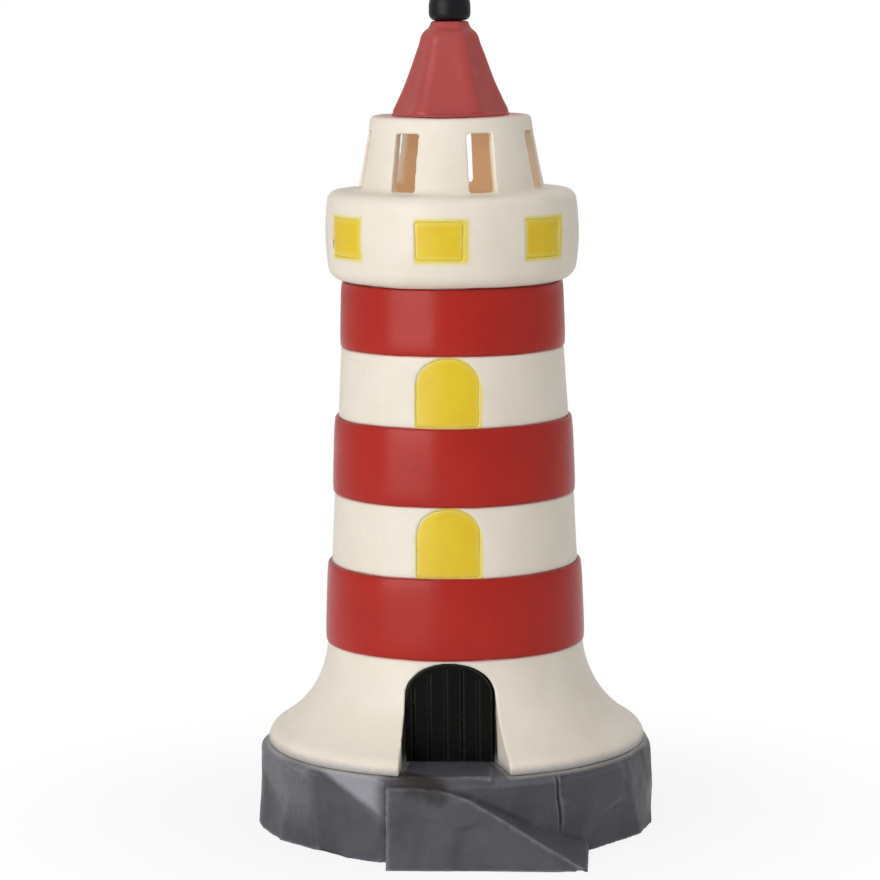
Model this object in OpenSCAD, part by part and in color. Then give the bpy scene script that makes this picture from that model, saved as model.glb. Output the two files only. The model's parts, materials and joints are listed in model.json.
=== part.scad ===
// Lighthouse night light. A hollow tower with red bands stands on a rock plinth and carries
// a gallery, a lantern room, a six-sided roof and a ball finial. A small screw bulb stands on
// a round base plug, which is pulled straight down out of the plinth.
// Millimetres, +Z up. The tower's axis is the Z axis, the door faces -Y, and the origin is
// on the table, at the centre of the base plug's underside.

/* [Rock plinth] */
// Height of the rock plinth
plinth_h = 30.5; // [28:0.5:34]
// Width of the ledge that shows around the foot of the tower
plinth_ledge = 2.2; // [2:0.1:4]
// How far the plinth widens from its top to the table
plinth_spread = 1.4; // [0.6:0.1:3]
// Wall of the hollow plinth
plinth_wall = 3.4; // [3:0.1:4]
// Bevel round the plinth's top edge
plinth_edge = 1.2; // [0.4:0.1:1.8]
// Depth of the flat faces hewn into the rock
hewn_depth = 1.2; // [0.6:0.1:1.5]
// How far the doorstep stands out in front of the plinth at the table
step_out = 6.8; // [3:0.2:9]
// How far the doorstep reaches to the left of the tower's axis
step_left = 21; // [18:0.2:26]
// How far the doorstep reaches to the right of the tower's axis
step_right = 49.8; // [44:0.2:54]
// Height of the door sill above the plinth's top
sill_h = 0.6; // [0.2:0.1:1.2]
// Width of the cracks in the rock
crack_w = 0.9; // [0.5:0.1:1.5]
// Depth of the cracks in the rock
crack_depth = 1.6; // [0.8:0.1:2.2]
// Distance from the doorstep's diagonal edge to the cleft beside it
cleft_shift = 3; // [2:0.1:6]

/* [Tower] */
// Height of the flared skirt, from the plinth to the lower red band
skirt_h = 37.3; // [35:0.1:39.5]
// Height of the lower red band
lower_band_h = 29; // [22:0.1:36]
// Height of the lower pale wall
lower_wall_h = 25.8; // [25.4:0.1:34]
// Height of the middle red band
middle_band_h = 27.6; // [20:0.1:34]
// Height of the upper pale wall
upper_wall_h = 25.8; // [25.4:0.1:34]
// Height of the upper red band
upper_band_h = 23.6; // [16:0.1:30]
// Height of the pale collar that shows above the upper red band
collar_h = 0.4; // [0.2:0.1:3]
// Outside radius of the shaft at the top of the skirt
shaft_foot_r = 46.75; // [45:0.05:48.5]
// Outside radius of the shaft at its top
shaft_head_r = 39.2; // [38.4:0.05:40.6]
// Wall of the tower
tower_wall = 3.4; // [3:0.1:4]
// Radius of the hollow curve in which the skirt flares out
flare_r = 38.7; // [36:0.1:41]
// Radius of the rounded lip at the foot of the skirt
lip_r = 7; // [6:0.5:9]
// Depth of the spigots that centre one shell in the next
spigot_depth = 5; // [3:0.5:6]
// Wall of those spigots
spigot_wall = 2.6; // [2:0.1:3]

/* [Red bands] */
// How far the lower band stands out from the wall
lower_band_proud = 0.9; // [0.4:0.05:1.5]
// How far the middle band stands out from the wall
middle_band_proud = 0.8; // [0.4:0.05:1.5]
// How far the upper band stands out from the wall
upper_band_proud = 0.5; // [0.4:0.05:1.5]
// Depth of the groove in the wall that each band sits in
band_seat = 1; // [0.6:0.1:1.4]
// Swell of each band between its two edges
band_crown = 0.3; // [0:0.05:0.8]
// Rounding of the edges of a band
band_edge = 0.6; // [0.3:0.1:1]

/* [Door and windows] */
// Width of the door
door_w = 31; // [26:0.5:33]
// Height of the door
door_h = 35.6; // [30:0.2:35.6]
// Height of the flattened arch over the door
door_rise = 11.2; // [8:0.2:15]
// Distance from the tower's axis to the face of the door
door_face = 45.8; // [45:0.1:47]
// Thickness of the door
door_t = 3; // [2.2:0.1:3.6]
// Wall of the recess that the door stands in
door_pocket_wall = 2.4; // [2:0.1:3]
// How much wider the recess is on each side at the foot of the skirt than at the door
door_splay = 5.5; // [3:0.1:7]
// How far the foot of the recess leans to the right of the door
door_skew = 3.7; // [0:0.1:5]
// Width of the flat frame around the planks
door_frame = 1.6; // [1:0.1:2.4]
// Distance between two grooves in the door
plank_w = 5.8; // [4.5:0.1:7]
// Width of a groove between two planks
groove_w = 0.7; // [0.4:0.1:1]
// Depth of a groove between two planks
groove_depth = 0.6; // [0.3:0.1:1]
// How far the groove nearest the door's middle lies to its left
groove_shift = 1.3; // [0:0.1:2.5]
// Width of the arched windows
window_w = 22.2; // [18:0.2:25]
// Height of the arched windows
window_h = 24.4; // [20:0.2:24.6]
// Height of the flattened arch over a window
window_rise = 8.6; // [6:0.2:10]
// Height of a window's foot above the band below it
window_sill = 0.6; // [0.4:0.1:0.8]
// How far a pane lies below the wall around it
pane_recess = 0.9; // [0.5:0.1:1.1]
// Thickness of a pane
pane_t = 1.3; // [0.8:0.1:1.5]

/* [Gallery and lantern] */
// Height of the gallery drum
gallery_h = 32.6; // [30:0.2:38]
// Largest radius of the gallery drum
gallery_r = 46; // [44:0.1:48]
// Swell of the gallery's side
gallery_crown = 0.8; // [0.2:0.1:1.4]
// Rounding of the gallery's lower edge
gallery_low_edge = 6; // [3:0.1:6.5]
// Rounding of the gallery's upper edge
gallery_top_edge = 4.2; // [2:0.1:5]
// Number of windows around the gallery, and of openings around the lantern room
window_count = 7; // [5:1:8]
// How far the gallery and the lantern room are turned round the axis from the door
gallery_turn = -2.8; // [-8:0.2:8]
// Width of a gallery window
port_w = 16.8; // [12:0.1:20]
// Height of a gallery window
port_h = 13.4; // [10:0.1:16]
// Height of a gallery window's foot above the gallery's underside
port_sill = 10.4; // [8:0.1:11]
// Rounding of the corners of windows and openings
port_corner = 0.9; // [0.4:0.1:1.5]
// Height of the lantern room
lantern_h = 26.7; // [25.5:0.1:30]
// Outside radius of the lantern room at its foot
lantern_foot_r = 33.7; // [32.4:0.1:35]
// Outside radius of the lantern room at its head, before the rounding
lantern_head_r = 28.9; // [28:0.1:31]
// Rounding between the lantern room and the gallery's deck
lantern_fillet = 2.2; // [1:0.1:3]
// Rounding of the lantern room's top edge
lantern_edge = 1.6; // [1:0.1:2.6]
// Wall of the gallery and the lantern room
lantern_wall = 3.5; // [3.2:0.1:4]
// Thickness of the lantern room's ceiling
ceiling_t = 3; // [2.4:0.1:3.4]
// Width of an opening in the lantern room
opening_w = 9.6; // [7:0.1:12]
// Height of an opening in the lantern room
opening_h = 20.8; // [16:0.2:21]
// Height of an opening's sill above the gallery's deck
opening_sill = 0.6; // [0.4:0.1:1.2]

/* [Roof and finial] */
// Height of the roof over the lantern room
roof_h = 33.9; // [30:0.1:40]
// Radius of the roof at the eaves, before its ridges are rounded
roof_r = 22.5; // [19:0.1:23.5]
// Radius of the roof's neck under the finial, before its ridges are rounded
neck_r = 7; // [6.4:0.1:8]
// Height of the upright neck
neck_h = 2.8; // [1.5:0.1:4]
// Rounding of the roof's shoulder
shoulder_r = 6.5; // [5:0.5:8]
// Rounding of the six ridges, as a share of the roof's radius
ridge_soft = 0.3; // [0.1:0.05:0.6]
// Radius of the red disc that the roof stands on
eaves_r = 24.4; // [23.6:0.1:26]
// Thickness of that disc
eaves_t = 0.8; // [0.5:0.1:1.5]
// Wall of the hollow roof
roof_wall = 2.6; // [2:0.1:3]
// Radius of the hole in the ceiling that the roof's spigot drops into
roof_hole_r = 15; // [13:0.1:17]
// Radius of the finial
knob_r = 7.5; // [7:0.1:9]
// Height of the finial
knob_h = 12.9; // [11:0.1:16]
// Radius of the peg under the finial
peg_r = 2.8; // [2:0.1:3.4]
// Length of the peg under the finial
peg_l = 6; // [4:0.2:7]

/* [Base plug] */
// Radius of the mouth in the plinth's underside
mouth_r = 52; // [49:0.5:54]
// Thickness of the plug's disc
plate_t = 3; // [2.6:0.1:3.2]
// Width of the lip that stops the plug flush with the plinth
plug_lip = 1.8; // [1.2:0.1:3]
// Height of the plug's rim above the table
rim_h = 5; // [4:0.5:12]
// Wall of the plug's rim and of the tongue's end
rim_wall = 2.4; // [2:0.1:3]
// Width of the notch that lets the cable out at the back
notch_w = 12; // [11.6:0.2:14]
// Height of the cable's axis above the table
cable_z = 8.5; // [8.5:0.1:9.5]
// Radius of the hole through the cable grommet
cable_r = 3; // [2.6:0.1:3.2]
// Wall of the grommet's bush
bush_wall = 1.2; // [0.9:0.1:1.3]
// Width and thickness of the grommet's two flanges
grommet_flange = 1.2; // [0.9:0.1:1.2]

/* [Lamp holder] */
// Outside radius of the lamp holder
holder_r = 13.5; // [13:0.1:15]
// Height of the lamp holder above the plug's disc
holder_h = 47; // [45:0.5:50]
// Wall of the lamp holder
holder_wall = 2.2; // [1.8:0.1:2.6]
// Thickness of the lamp holder's foot
holder_foot_t = 2.5; // [2:0.1:3.5]
// Distance from the axis to a holder screw
holder_screw_x = 17.5; // [17.5:0.1:19]
// Radius of the holder screws
screw_r = 1.3; // [1.1:0.1:1.6]
// Depth of the insert's top below the holder's rim
insert_drop = 3; // [2:0.1:4]
// Thickness of the insert's floor
insert_floor = 5; // [4:0.5:6]
// Inside radius of the brass sleeve that the bulb screws into
sleeve_r = 6.95; // [6.85:0.05:7.1]
// Thickness of the brass sleeve
sleeve_wall = 0.45; // [0.3:0.05:0.6]
// Thickness of the brass contacts
contact_t = 0.5; // [0.3:0.1:0.8]
// Height of the centre contact above the insert's floor
contact_rise = 4.5; // [3.5:0.1:6]
// Radius of the two leads inside the plug
lead_r = 0.9; // [0.7:0.1:1]
// Distance of each lead from the middle
lead_x = 4; // [3.8:0.1:4.4]
// Distance from the tower's axis to the middle of the terminal block
terminal_y = 34; // [31:0.5:38]

/* [Bulb] */
// Largest radius of the bulb
bulb_r = 22.5; // [20:0.5:22.5]
// Length of the bulb from its tip to its top
bulb_l = 78.5; // [76:0.5:84]
// Height of the bulb's screw cap
cap_h = 18; // [16:0.5:19]
// Gap between the brass sleeve's collar and the bulb's neck
neck_gap = 1.6; // [1:0.1:3]
// Pitch of the thread rolled into the cap
cap_pitch = 2.82; // [2.4:0.02:3.2]
// Depth of that thread
cap_thread = 0.4; // [0.2:0.05:0.5]
// Wall of the opal dome
dome_wall = 1.2; // [0.8:0.1:1.8]
// Radius of the board that carries the light chips
board_r = 16.5; // [14:0.5:17]

/* [Hidden] */
$fn = 96;

// Clearances: seat is between still pieces, slip is between pieces that move apart,
// and over is how far a cut runs past the face that it opens
seat = 0.1;
slip = 0.3;
over = 1;

// Colours
ivory = "#F1E7D8";
band_red = "#B83430";
roof_red = "#A8403E";
yellow = "#E6C93C";
black = "#232525";
rock_grey = "#7A7B82";
white = "#ECEBE6";
brass = "#B99A4E";
steel = "#B9BCBE";
live_brown = "#7A4A2A";
neutral_blue = "#2F5F9A";

// Heights up the tower
lower_band_z = plinth_h + skirt_h;
lower_wall_z = lower_band_z + lower_band_h;
middle_band_z = lower_wall_z + lower_wall_h;
upper_wall_z = middle_band_z + middle_band_h;
upper_band_z = upper_wall_z + upper_wall_h;
collar_z = upper_band_z + upper_band_h;
gallery_z = collar_z + collar_h;
lantern_z = gallery_z + gallery_h;
ceiling_z = lantern_z + lantern_h;
neck_z = ceiling_z + roof_h;

// Points along an arc, with both ends
function arc(x, z, r, from, to, steps) =
    [for (i = [0 : steps]) let (a = from + (to - from) * i / steps) [x + r * cos(a), z + r * sin(a)]];

// The shaft's straight taper
shaft_slope = (shaft_foot_r - shaft_head_r) / (gallery_z - lower_band_z);
shaft_lean = atan(shaft_slope);
function shaft_at(z) = shaft_foot_r - shaft_slope * (z - lower_band_z);

// The skirt is a hollow curve that leaves the shaft smoothly, then a rounded lip that ends
// upright on the plinth. skirt(t) runs from the foot up, moved in by t.
flare_x = shaft_foot_r + flare_r * cos(shaft_lean);
flare_z = lower_band_z + flare_r * sin(shaft_lean);
flare_turn = asin((flare_z - plinth_h) / (flare_r + lip_r));
lip_x = flare_x - (flare_r + lip_r) * cos(flare_turn);
foot_r = lip_x + lip_r;
function skirt(t) = concat(
    arc(lip_x, plinth_h, lip_r - t, 0, flare_turn, 6),
    arc(flare_x, flare_z, flare_r + t, 180 + flare_turn, 180 + shaft_lean, 14));

// The plinth carries the tower's foot on a flange
plinth_top_r = foot_r + plinth_ledge;
plinth_foot_r = plinth_top_r + plinth_spread;
plinth_mid_r = plinth_top_r + plinth_spread / 2;
plinth_seat_r = foot_r - tower_wall - spigot_wall - seat;

// Flat faces hewn into the rock: direction round the axis, and upward tilt
rock_faces = [[-155, 4], [-134, -3], [-120, 5], [-36, -3], [-15, 4], [8, -3], [31, 5], [53, -3],
              [127, -4], [149, 4], [171, -3]];

// One crack runs up beside the doorstep's left end, and one above the break at its right
crack_gap = 0.8;
crack_turns = [-90 - asin(step_left / plinth_top_r) - crack_gap, -60];

// The door stands in a recess that widens towards the front
door_back = door_face - door_t;
pocket_back = door_back - door_pocket_wall;
shelf_w = door_w + 2 * (door_pocket_wall + door_splay + door_skew);
sill_z = plinth_h + sill_h;
lower_window_z = lower_wall_z + window_sill;
upper_window_z = upper_wall_z + window_sill;
pane_seat = pane_recess + pane_t;

// The lantern room's straight taper, and its seven-fold spacing
lantern_slope = (lantern_foot_r - lantern_head_r) / lantern_h;
function lantern_at(z) = lantern_foot_r - lantern_slope * (z - lantern_z);
window_step = 360 / window_count;
gallery_spigot_r = shaft_head_r - tower_wall - seat;

// The roof: a straight slope that runs into a round shoulder and an upright neck
eaves_z = ceiling_z + eaves_t;
shoulder_end = 68;
shoulder_x = neck_r - shoulder_r * cos(shoulder_end);
shoulder_z = neck_z - neck_h - shoulder_r * sin(shoulder_end);
roof_run = roof_r - shoulder_x;
roof_rise = shoulder_z - eaves_z;
roof_lean = acos(shoulder_r / norm([roof_run, roof_rise])) - atan(roof_rise / roof_run);
roof_spigot_r = roof_hole_r - seat;

// The base plug, and the tongue that carries the grommet out to the plinth's back
plate_r = mouth_r - slip;
plug_lip_t = plate_t / 2;
tongue_w = notch_w - 2 * slip;
tongue_inset = 0.5;
tongue_end = plinth_top_r - tongue_inset;
bush_r = cable_r + bush_wall;

// The lamp holder stands on the plug, and its insert holds the sleeve and contacts
holder_top = plate_t + holder_h;
holder_bore = holder_r - holder_wall;
screw_boss_wall = 1.9;
screw_boss_h = 10;
screw_boss_r = screw_r + screw_boss_wall;
screw_boss_z = plate_t + screw_boss_h;
holder_foot_w = 1.2;
holder_foot_r = holder_screw_x + screw_boss_r + holder_foot_w;
screw_head_w = 1.5;
screw_head_r = screw_r + screw_head_w;
screw_head_t = 1.4;
screw_end_gap = 2.5;
insert_r = holder_bore - seat;
insert_top = holder_top - insert_drop;
sleeve_out = sleeve_r + sleeve_wall;

// The bulb hangs from its neck, and its tip sets the height of the centre contact
tip_h = 1.4;
tip_r = 2.3;
tip_face_r = 1.6;
insulator_h = 3.4;
cap_top = insert_top + contact_t + neck_gap;
cap_z = cap_top - cap_h;
insulator_z = cap_z - insulator_h;
tip_z = insulator_z - tip_h;
contact_z = tip_z - slip - contact_t - contact_rise;
insert_z = contact_z - insert_floor;
sleeve_lift = 0.6;
sleeve_z = contact_z + contact_t + sleeve_lift;

// The leads and the block that they come from
strip_w = 3.2;
terminal_size = [16, 11, 10];
clamp_screw_h = 2.6;
lead_rise = 6;
lead_z = plate_t + lead_rise;
lead_bend = 3;
slot_margin = 2;
slot_w = 2 * (lead_x + slot_margin);
slot_top = lead_z + lead_bend;

// The rest of the bulb
cap_r = sleeve_r - seat;
cap_wall = 0.35;
cap_in = cap_r - cap_thread - cap_wall;
cap_plug = 1.5;
neck_plug = 5;
neck_collar = 1.5;
globe_z = tip_z + bulb_l - bulb_r;
rim_angle = 25;
housing_z = globe_z - bulb_r * sin(rim_angle);
housing_r = bulb_r * cos(rim_angle);
board_t = 1.6;

// A doorway with a flattened arch, drawn from the middle of its foot
module arch(w, h, rise) {
    polygon(concat([[-w / 2, 0], [w / 2, 0]],
        [for (a = [0 : 7.5 : 180]) [w / 2 * cos(a), h - rise + rise * sin(a)]]));
}

// The same, stood up facing the front, from near to far of the tower's axis
module front_arch(w, h, rise, z, near, far) {
    translate([0, -near, z]) rotate([90, 0, 0]) linear_extrude(far - near) arch(w, h, rise);
}

// A rectangle with round corners, centred
module rounded(w, h, r) {
    square([w - 2 * r, h], center = true);
    square([w, h - 2 * r], center = true);
    for (x = [-1, 1], z = [-1, 1]) translate([x * (w / 2 - r), z * (h / 2 - r)]) circle(r);
}

// A flat ring that lies from z up to z + h
module ring(outer, inner, z, h) {
    translate([0, 0, z]) difference() {
        cylinder(r = outer, h = h);
        translate([0, 0, -over]) cylinder(r = inner, h = h + 2 * over);
    }
}

// Everything beyond a plane that faces round the axis by turn and up by tilt
module beyond(turn, tilt, distance) {
    size = 240;
    rotate([0, 0, turn]) rotate([0, 90 - tilt, 0])
        translate([-size / 2, -size / 2, distance]) cube(size);
}

// A crack straight up the rock in one direction
module crack(turn, r) {
    rotate([0, 0, turn]) translate([r - crack_depth, -crack_w / 2, -over])
        cube([plinth_spread + crack_depth + over, crack_w, plinth_h + 2 * over]);
}

// The doorstep is a slab with a leaning front. A diagonal break runs down it to the right,
// and a cleft follows the edge between the two.
module doorstep() {
    step_r = plinth_foot_r + step_out;
    step_top_out = 1;
    step_lean = atan((step_out - step_top_out) / plinth_h);
    break_turn = -15;
    break_tilt = 59.8;
    break_at = cos(break_tilt) * (cos(break_turn) * step_right - sin(break_turn) * step_r);
    break_foot = [step_right, -step_r, 0];
    edge = cross([0, -cos(step_lean), sin(step_lean)],
                 [cos(break_tilt) * cos(break_turn), cos(break_tilt) * sin(break_turn), sin(break_tilt)]);
    difference() {
        translate([-step_left, -step_r, 0])
            cube([step_left + step_right, step_r - mouth_r - plug_lip - over, plinth_h]);
        beyond(-90, step_lean, step_r * cos(step_lean));
        beyond(break_turn, break_tilt, break_at);
        translate(break_foot - [cleft_shift, 0, 0])
            rotate([0, acos(edge[2] / norm(edge)), atan2(edge[1], edge[0])])
                cube([crack_w, 2 * crack_depth, 4 * step_right], center = true);
    }
}

module rock_plinth() {
    hollow_r = foot_r - plinth_wall + seat;
    color(rock_grey) difference() {
        union() {
            difference() {
                union() {
                    cylinder(r1 = plinth_foot_r, r2 = plinth_top_r, h = plinth_h - plinth_edge);
                    translate([0, 0, plinth_h - plinth_edge])
                        cylinder(r1 = plinth_top_r, r2 = plinth_top_r - plinth_edge, h = plinth_edge);
                }
                for (f = rock_faces)
                    beyond(f[0], f[1], (plinth_mid_r - hewn_depth) * cos(f[1]) + plinth_h / 2 * sin(f[1]));
                for (turn = crack_turns) crack(turn, plinth_top_r);
            }
            doorstep();
            // The sill runs in under the door
            translate([-door_w / 2 + seat, -foot_r, plinth_h - over])
                cube([door_w - 2 * seat, foot_r - door_back, sill_h + over]);
        }
        // Hollow behind the wall, but for a shelf under the doorway
        difference() {
            union() {
                translate([0, 0, plinth_wall])
                    cylinder(r = hollow_r, h = plinth_h - 2 * plinth_wall);
                translate([0, 0, plinth_wall]) cylinder(r = plinth_seat_r, h = plinth_h);
            }
            translate([-shelf_w / 2, -plinth_foot_r, plinth_h - plinth_wall])
                cube([shelf_w, plinth_foot_r - pocket_back + over, plinth_h]);
        }
        // The mouth for the base plug, and the seat for its lip
        translate([0, 0, -over]) cylinder(r = mouth_r, h = plinth_wall + 2 * over);
        translate([0, 0, -over]) cylinder(r = mouth_r + plug_lip + slip, h = plug_lip_t + slip + over);
        // The notch for the cable is open below
        translate([-notch_w / 2, mouth_r / 2, -over])
            cube([notch_w, plinth_foot_r, cable_z + notch_w / 2 + over]);
    }
}

// The doorway's recess: narrow at the door and wider at the foot of the skirt
module doorway(grow, near) {
    top = door_h + sill_h + seat + over + grow;
    hull() {
        front_arch(door_w + 2 * grow, top, door_rise, plinth_h - over, near, door_face);
        translate([door_skew, 0, 0])
            front_arch(door_w + 2 * door_splay + 2 * grow, top, door_rise, plinth_h - over,
                       plinth_foot_r, plinth_foot_r + over);
    }
}

// A layer of the shaft's wall between two depths under its surface
module shaft_layer(outer, inner) {
    rotate_extrude() polygon([
        [shaft_at(lower_band_z) - inner, lower_band_z], [shaft_at(lower_band_z) - outer, lower_band_z],
        [shaft_at(gallery_z) - outer, gallery_z], [shaft_at(gallery_z) - inner, gallery_z]]);
}

module arched_window(z, grow, outer, inner) {
    intersection() {
        front_arch(window_w - 2 * grow, window_h - 2 * grow, window_rise - grow, z + grow,
                   door_back / 2, foot_r);
        shaft_layer(outer, inner);
    }
}

module tower_shell() {
    grooves = [[lower_band_z, lower_wall_z], [middle_band_z, upper_wall_z], [upper_band_z, collar_z]];
    outline = concat(skirt(0), [for (g = grooves) each [
        [shaft_at(g[0]), g[0]], [shaft_at(g[0]) - band_seat, g[0]],
        [shaft_at(g[1]) - band_seat, g[1]], [shaft_at(g[1]), g[1]]]],
        [[shaft_head_r, gallery_z]]);
    hollow = concat(skirt(tower_wall), [[shaft_head_r - tower_wall, gallery_z]]);
    spigot_r = plinth_seat_r - seat;
    color(ivory) difference() {
        union() {
            difference() {
                rotate_extrude() polygon(concat([[0, plinth_h]], outline, [[0, gallery_z]]));
                difference() {
                    rotate_extrude() polygon(concat(
                        [[0, plinth_h - over], [foot_r - tower_wall, plinth_h - over]], hollow,
                        [[shaft_head_r - tower_wall, gallery_z + over], [0, gallery_z + over]]));
                    doorway(door_pocket_wall, pocket_back);
                }
            }
            // A spigot under the skirt drops into the plinth
            difference() {
                union() {
                    ring(spigot_r, spigot_r - spigot_wall, plinth_h - spigot_depth, spigot_depth + over);
                    ring(foot_r - tower_wall / 2, spigot_r - spigot_wall, plinth_h, spigot_wall);
                }
                doorway(door_pocket_wall, 0);
                // and leaves room for the shelf under the doorway
                translate([-shelf_w / 2 - seat, -foot_r, plinth_h - spigot_depth - over])
                    cube([shelf_w + 2 * seat, foot_r, spigot_depth + over]);
            }
        }
        doorway(0, door_back - seat);
        arched_window(lower_window_z, 0, -over, pane_seat);
        arched_window(upper_window_z, 0, -over, pane_seat);
    }
}

// A red band: a sleeve with a slight swell and rounded edges
module band(from, to, proud) {
    steps = 8;
    out = [for (i = [0 : steps]) let (t = i / steps, z = from + band_edge + (to - from - 2 * band_edge) * t)
        [shaft_at(z) + proud + band_crown * sin(180 * t), z]];
    color(band_red) rotate_extrude() polygon(concat(
        [[shaft_at(from) - band_seat + seat, from], [shaft_at(from) + proud - band_edge, from]],
        arc(out[0][0] - band_edge, out[0][1], band_edge, -60, -30, 1), out,
        arc(out[steps][0] - band_edge, out[steps][1], band_edge, 30, 60, 1),
        [[shaft_at(to) + proud - band_edge, to], [shaft_at(to) - band_seat + seat, to]]));
}

module band_lower() { band(lower_band_z, lower_wall_z, lower_band_proud); }
module band_middle() { band(middle_band_z, upper_wall_z, middle_band_proud); }
module band_upper() { band(upper_band_z, collar_z, upper_band_proud); }

module door() {
    groove_count = ceil(door_w / plank_w) + 1;
    color(black) difference() {
        front_arch(door_w - 2 * seat, door_h, door_rise, sill_z, door_back, door_face);
        intersection() {
            front_arch(door_w - 2 * door_frame, door_h - door_frame, door_rise - door_frame / 2, sill_z,
                       door_face - groove_depth, door_face + over);
            for (i = [-groove_count : groove_count])
                translate([i * plank_w - groove_shift - groove_w / 2, -door_face - over, sill_z])
                    cube([groove_w, groove_depth + 2 * over, door_h]);
        }
    }
}

module window_lower() { color(yellow) arched_window(lower_window_z, seat, pane_recess, pane_seat - seat); }
module window_upper() { color(yellow) arched_window(upper_window_z, seat, pane_recess, pane_seat - seat); }

// Blocks around the gallery's wall at its windows
module ports(grow) {
    for (i = [0 : window_count - 1])
        rotate([0, 0, gallery_turn + i * window_step])
            translate([0, -gallery_r / 2, gallery_z + port_sill + port_h / 2])
                rotate([90, 0, 0]) linear_extrude(gallery_r)
                    rounded(port_w - 2 * grow, port_h - 2 * grow, port_corner);
}

module gallery_lantern() {
    steps = 8;
    side_foot = gallery_z + gallery_low_edge;
    side_head = lantern_z - gallery_top_edge;
    side_r = gallery_r - gallery_crown;
    side = [for (i = [1 : steps - 1]) let (t = i / steps)
        [gallery_r - gallery_crown * pow(2 * t - 1, 2), side_foot + (side_head - side_foot) * t]];
    fillet_z = lantern_z + lantern_fillet;
    edge_z = ceiling_z - lantern_edge;
    outline = concat(
        [[gallery_spigot_r, gallery_z]],
        arc(side_r - gallery_low_edge, side_foot, gallery_low_edge, -90, 0, 6), side,
        arc(side_r - gallery_top_edge, side_head, gallery_top_edge, 0, 90, 5),
        arc(lantern_at(fillet_z) + lantern_fillet, fillet_z, lantern_fillet, 270, 180, 5),
        arc(lantern_at(edge_z) - lantern_edge, edge_z, lantern_edge, 0, 90, 5));
    hollow = [
        [roof_hole_r, ceiling_z], [roof_hole_r, ceiling_z - ceiling_t],
        [lantern_at(ceiling_z - ceiling_t) - lantern_wall, ceiling_z - ceiling_t],
        [lantern_at(lantern_z) - lantern_wall, lantern_z - lantern_wall],
        [side_r - lantern_wall - gallery_top_edge, lantern_z - lantern_wall],
        [side_r - lantern_wall, side_head - lantern_wall / 2],
        [side_r - lantern_wall, side_foot + lantern_wall / 2],
        [side_r - lantern_wall - gallery_low_edge, gallery_z + lantern_wall],
        [gallery_spigot_r - spigot_wall, gallery_z + lantern_wall],
        [gallery_spigot_r - spigot_wall, gallery_z - spigot_depth],
        [gallery_spigot_r, gallery_z - spigot_depth]];
    color(ivory) difference() {
        rotate_extrude() polygon(concat(outline, hollow));
        for (i = [0 : window_count - 1])
            rotate([0, 0, gallery_turn + (i + 0.5) * window_step])
                translate([0, -lantern_foot_r / 2, lantern_z + opening_sill + opening_h / 2])
                    rotate([90, 0, 0]) linear_extrude(lantern_foot_r)
                        rounded(opening_w, opening_h, port_corner);
        intersection() {
            ports(0);
            ring(gallery_r + over, gallery_r - pane_seat, gallery_z, gallery_h);
        }
    }
}

module gallery_panes() {
    color(yellow) intersection() {
        ports(seat);
        ring(gallery_r - pane_recess, gallery_r - pane_seat + seat, gallery_z, gallery_h);
    }
}

// A level hexagon with rounded corners, and the solid through a stack of them
function hexagon(r, z) = let (round_r = r * ridge_soft, far = r - round_r / cos(30))
    [for (k = [0 : 5], j = [-2 : 2]) let (a = 60 * k, b = a + 15 * j)
        [far * cos(a) + round_r * cos(b), far * sin(a) + round_r * sin(b), z]];

module hexagon_stack(outline) {
    n = 30;
    last = len(outline) - 1;
    polyhedron(
        points = [for (p = outline) each hexagon(p[0], p[1])],
        faces = concat(
            [[for (i = [0 : n - 1]) i]],
            [for (k = [0 : last - 1], i = [0 : n - 1]) let (a = k * n + i, b = k * n + (i + 1) % n)
                [a, a + n, b + n, b]],
            [[for (i = [n - 1 : -1 : 0]) last * n + i]]));
}

module roof() {
    inside_r = roof_r - roof_wall / cos(roof_lean);
    color(roof_red) difference() {
        union() {
            hexagon_stack(concat([[roof_r, eaves_z - over / 2], [roof_r, eaves_z]],
                arc(shoulder_x, shoulder_z, shoulder_r, roof_lean, shoulder_end, 5), [[neck_r, neck_z]]));
            translate([0, 0, ceiling_z]) cylinder(r = eaves_r, h = eaves_t);
            translate([0, 0, ceiling_z - ceiling_t]) cylinder(r = roof_spigot_r, h = ceiling_t + over);
        }
        hexagon_stack([[inside_r, eaves_z], [inside_r - roof_rise * tan(roof_lean), shoulder_z]]);
        translate([0, 0, ceiling_z - ceiling_t - over])
            cylinder(r = roof_spigot_r - spigot_wall, h = ceiling_t + eaves_t + 2 * over);
        translate([0, 0, neck_z - peg_l - seat]) cylinder(r = peg_r + seat, h = peg_l + over);
    }
}

module knob() {
    base_edge = 2.4;
    dome_z = neck_z + knob_h - knob_r;
    color(black) rotate_extrude() polygon(concat(
        [[0, neck_z - peg_l], [peg_r, neck_z - peg_l], [peg_r, neck_z]],
        arc(knob_r - base_edge, neck_z + base_edge, base_edge, -90, 0, 5),
        arc(0, dome_z, knob_r, 0, 90, 12)));
}

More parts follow.
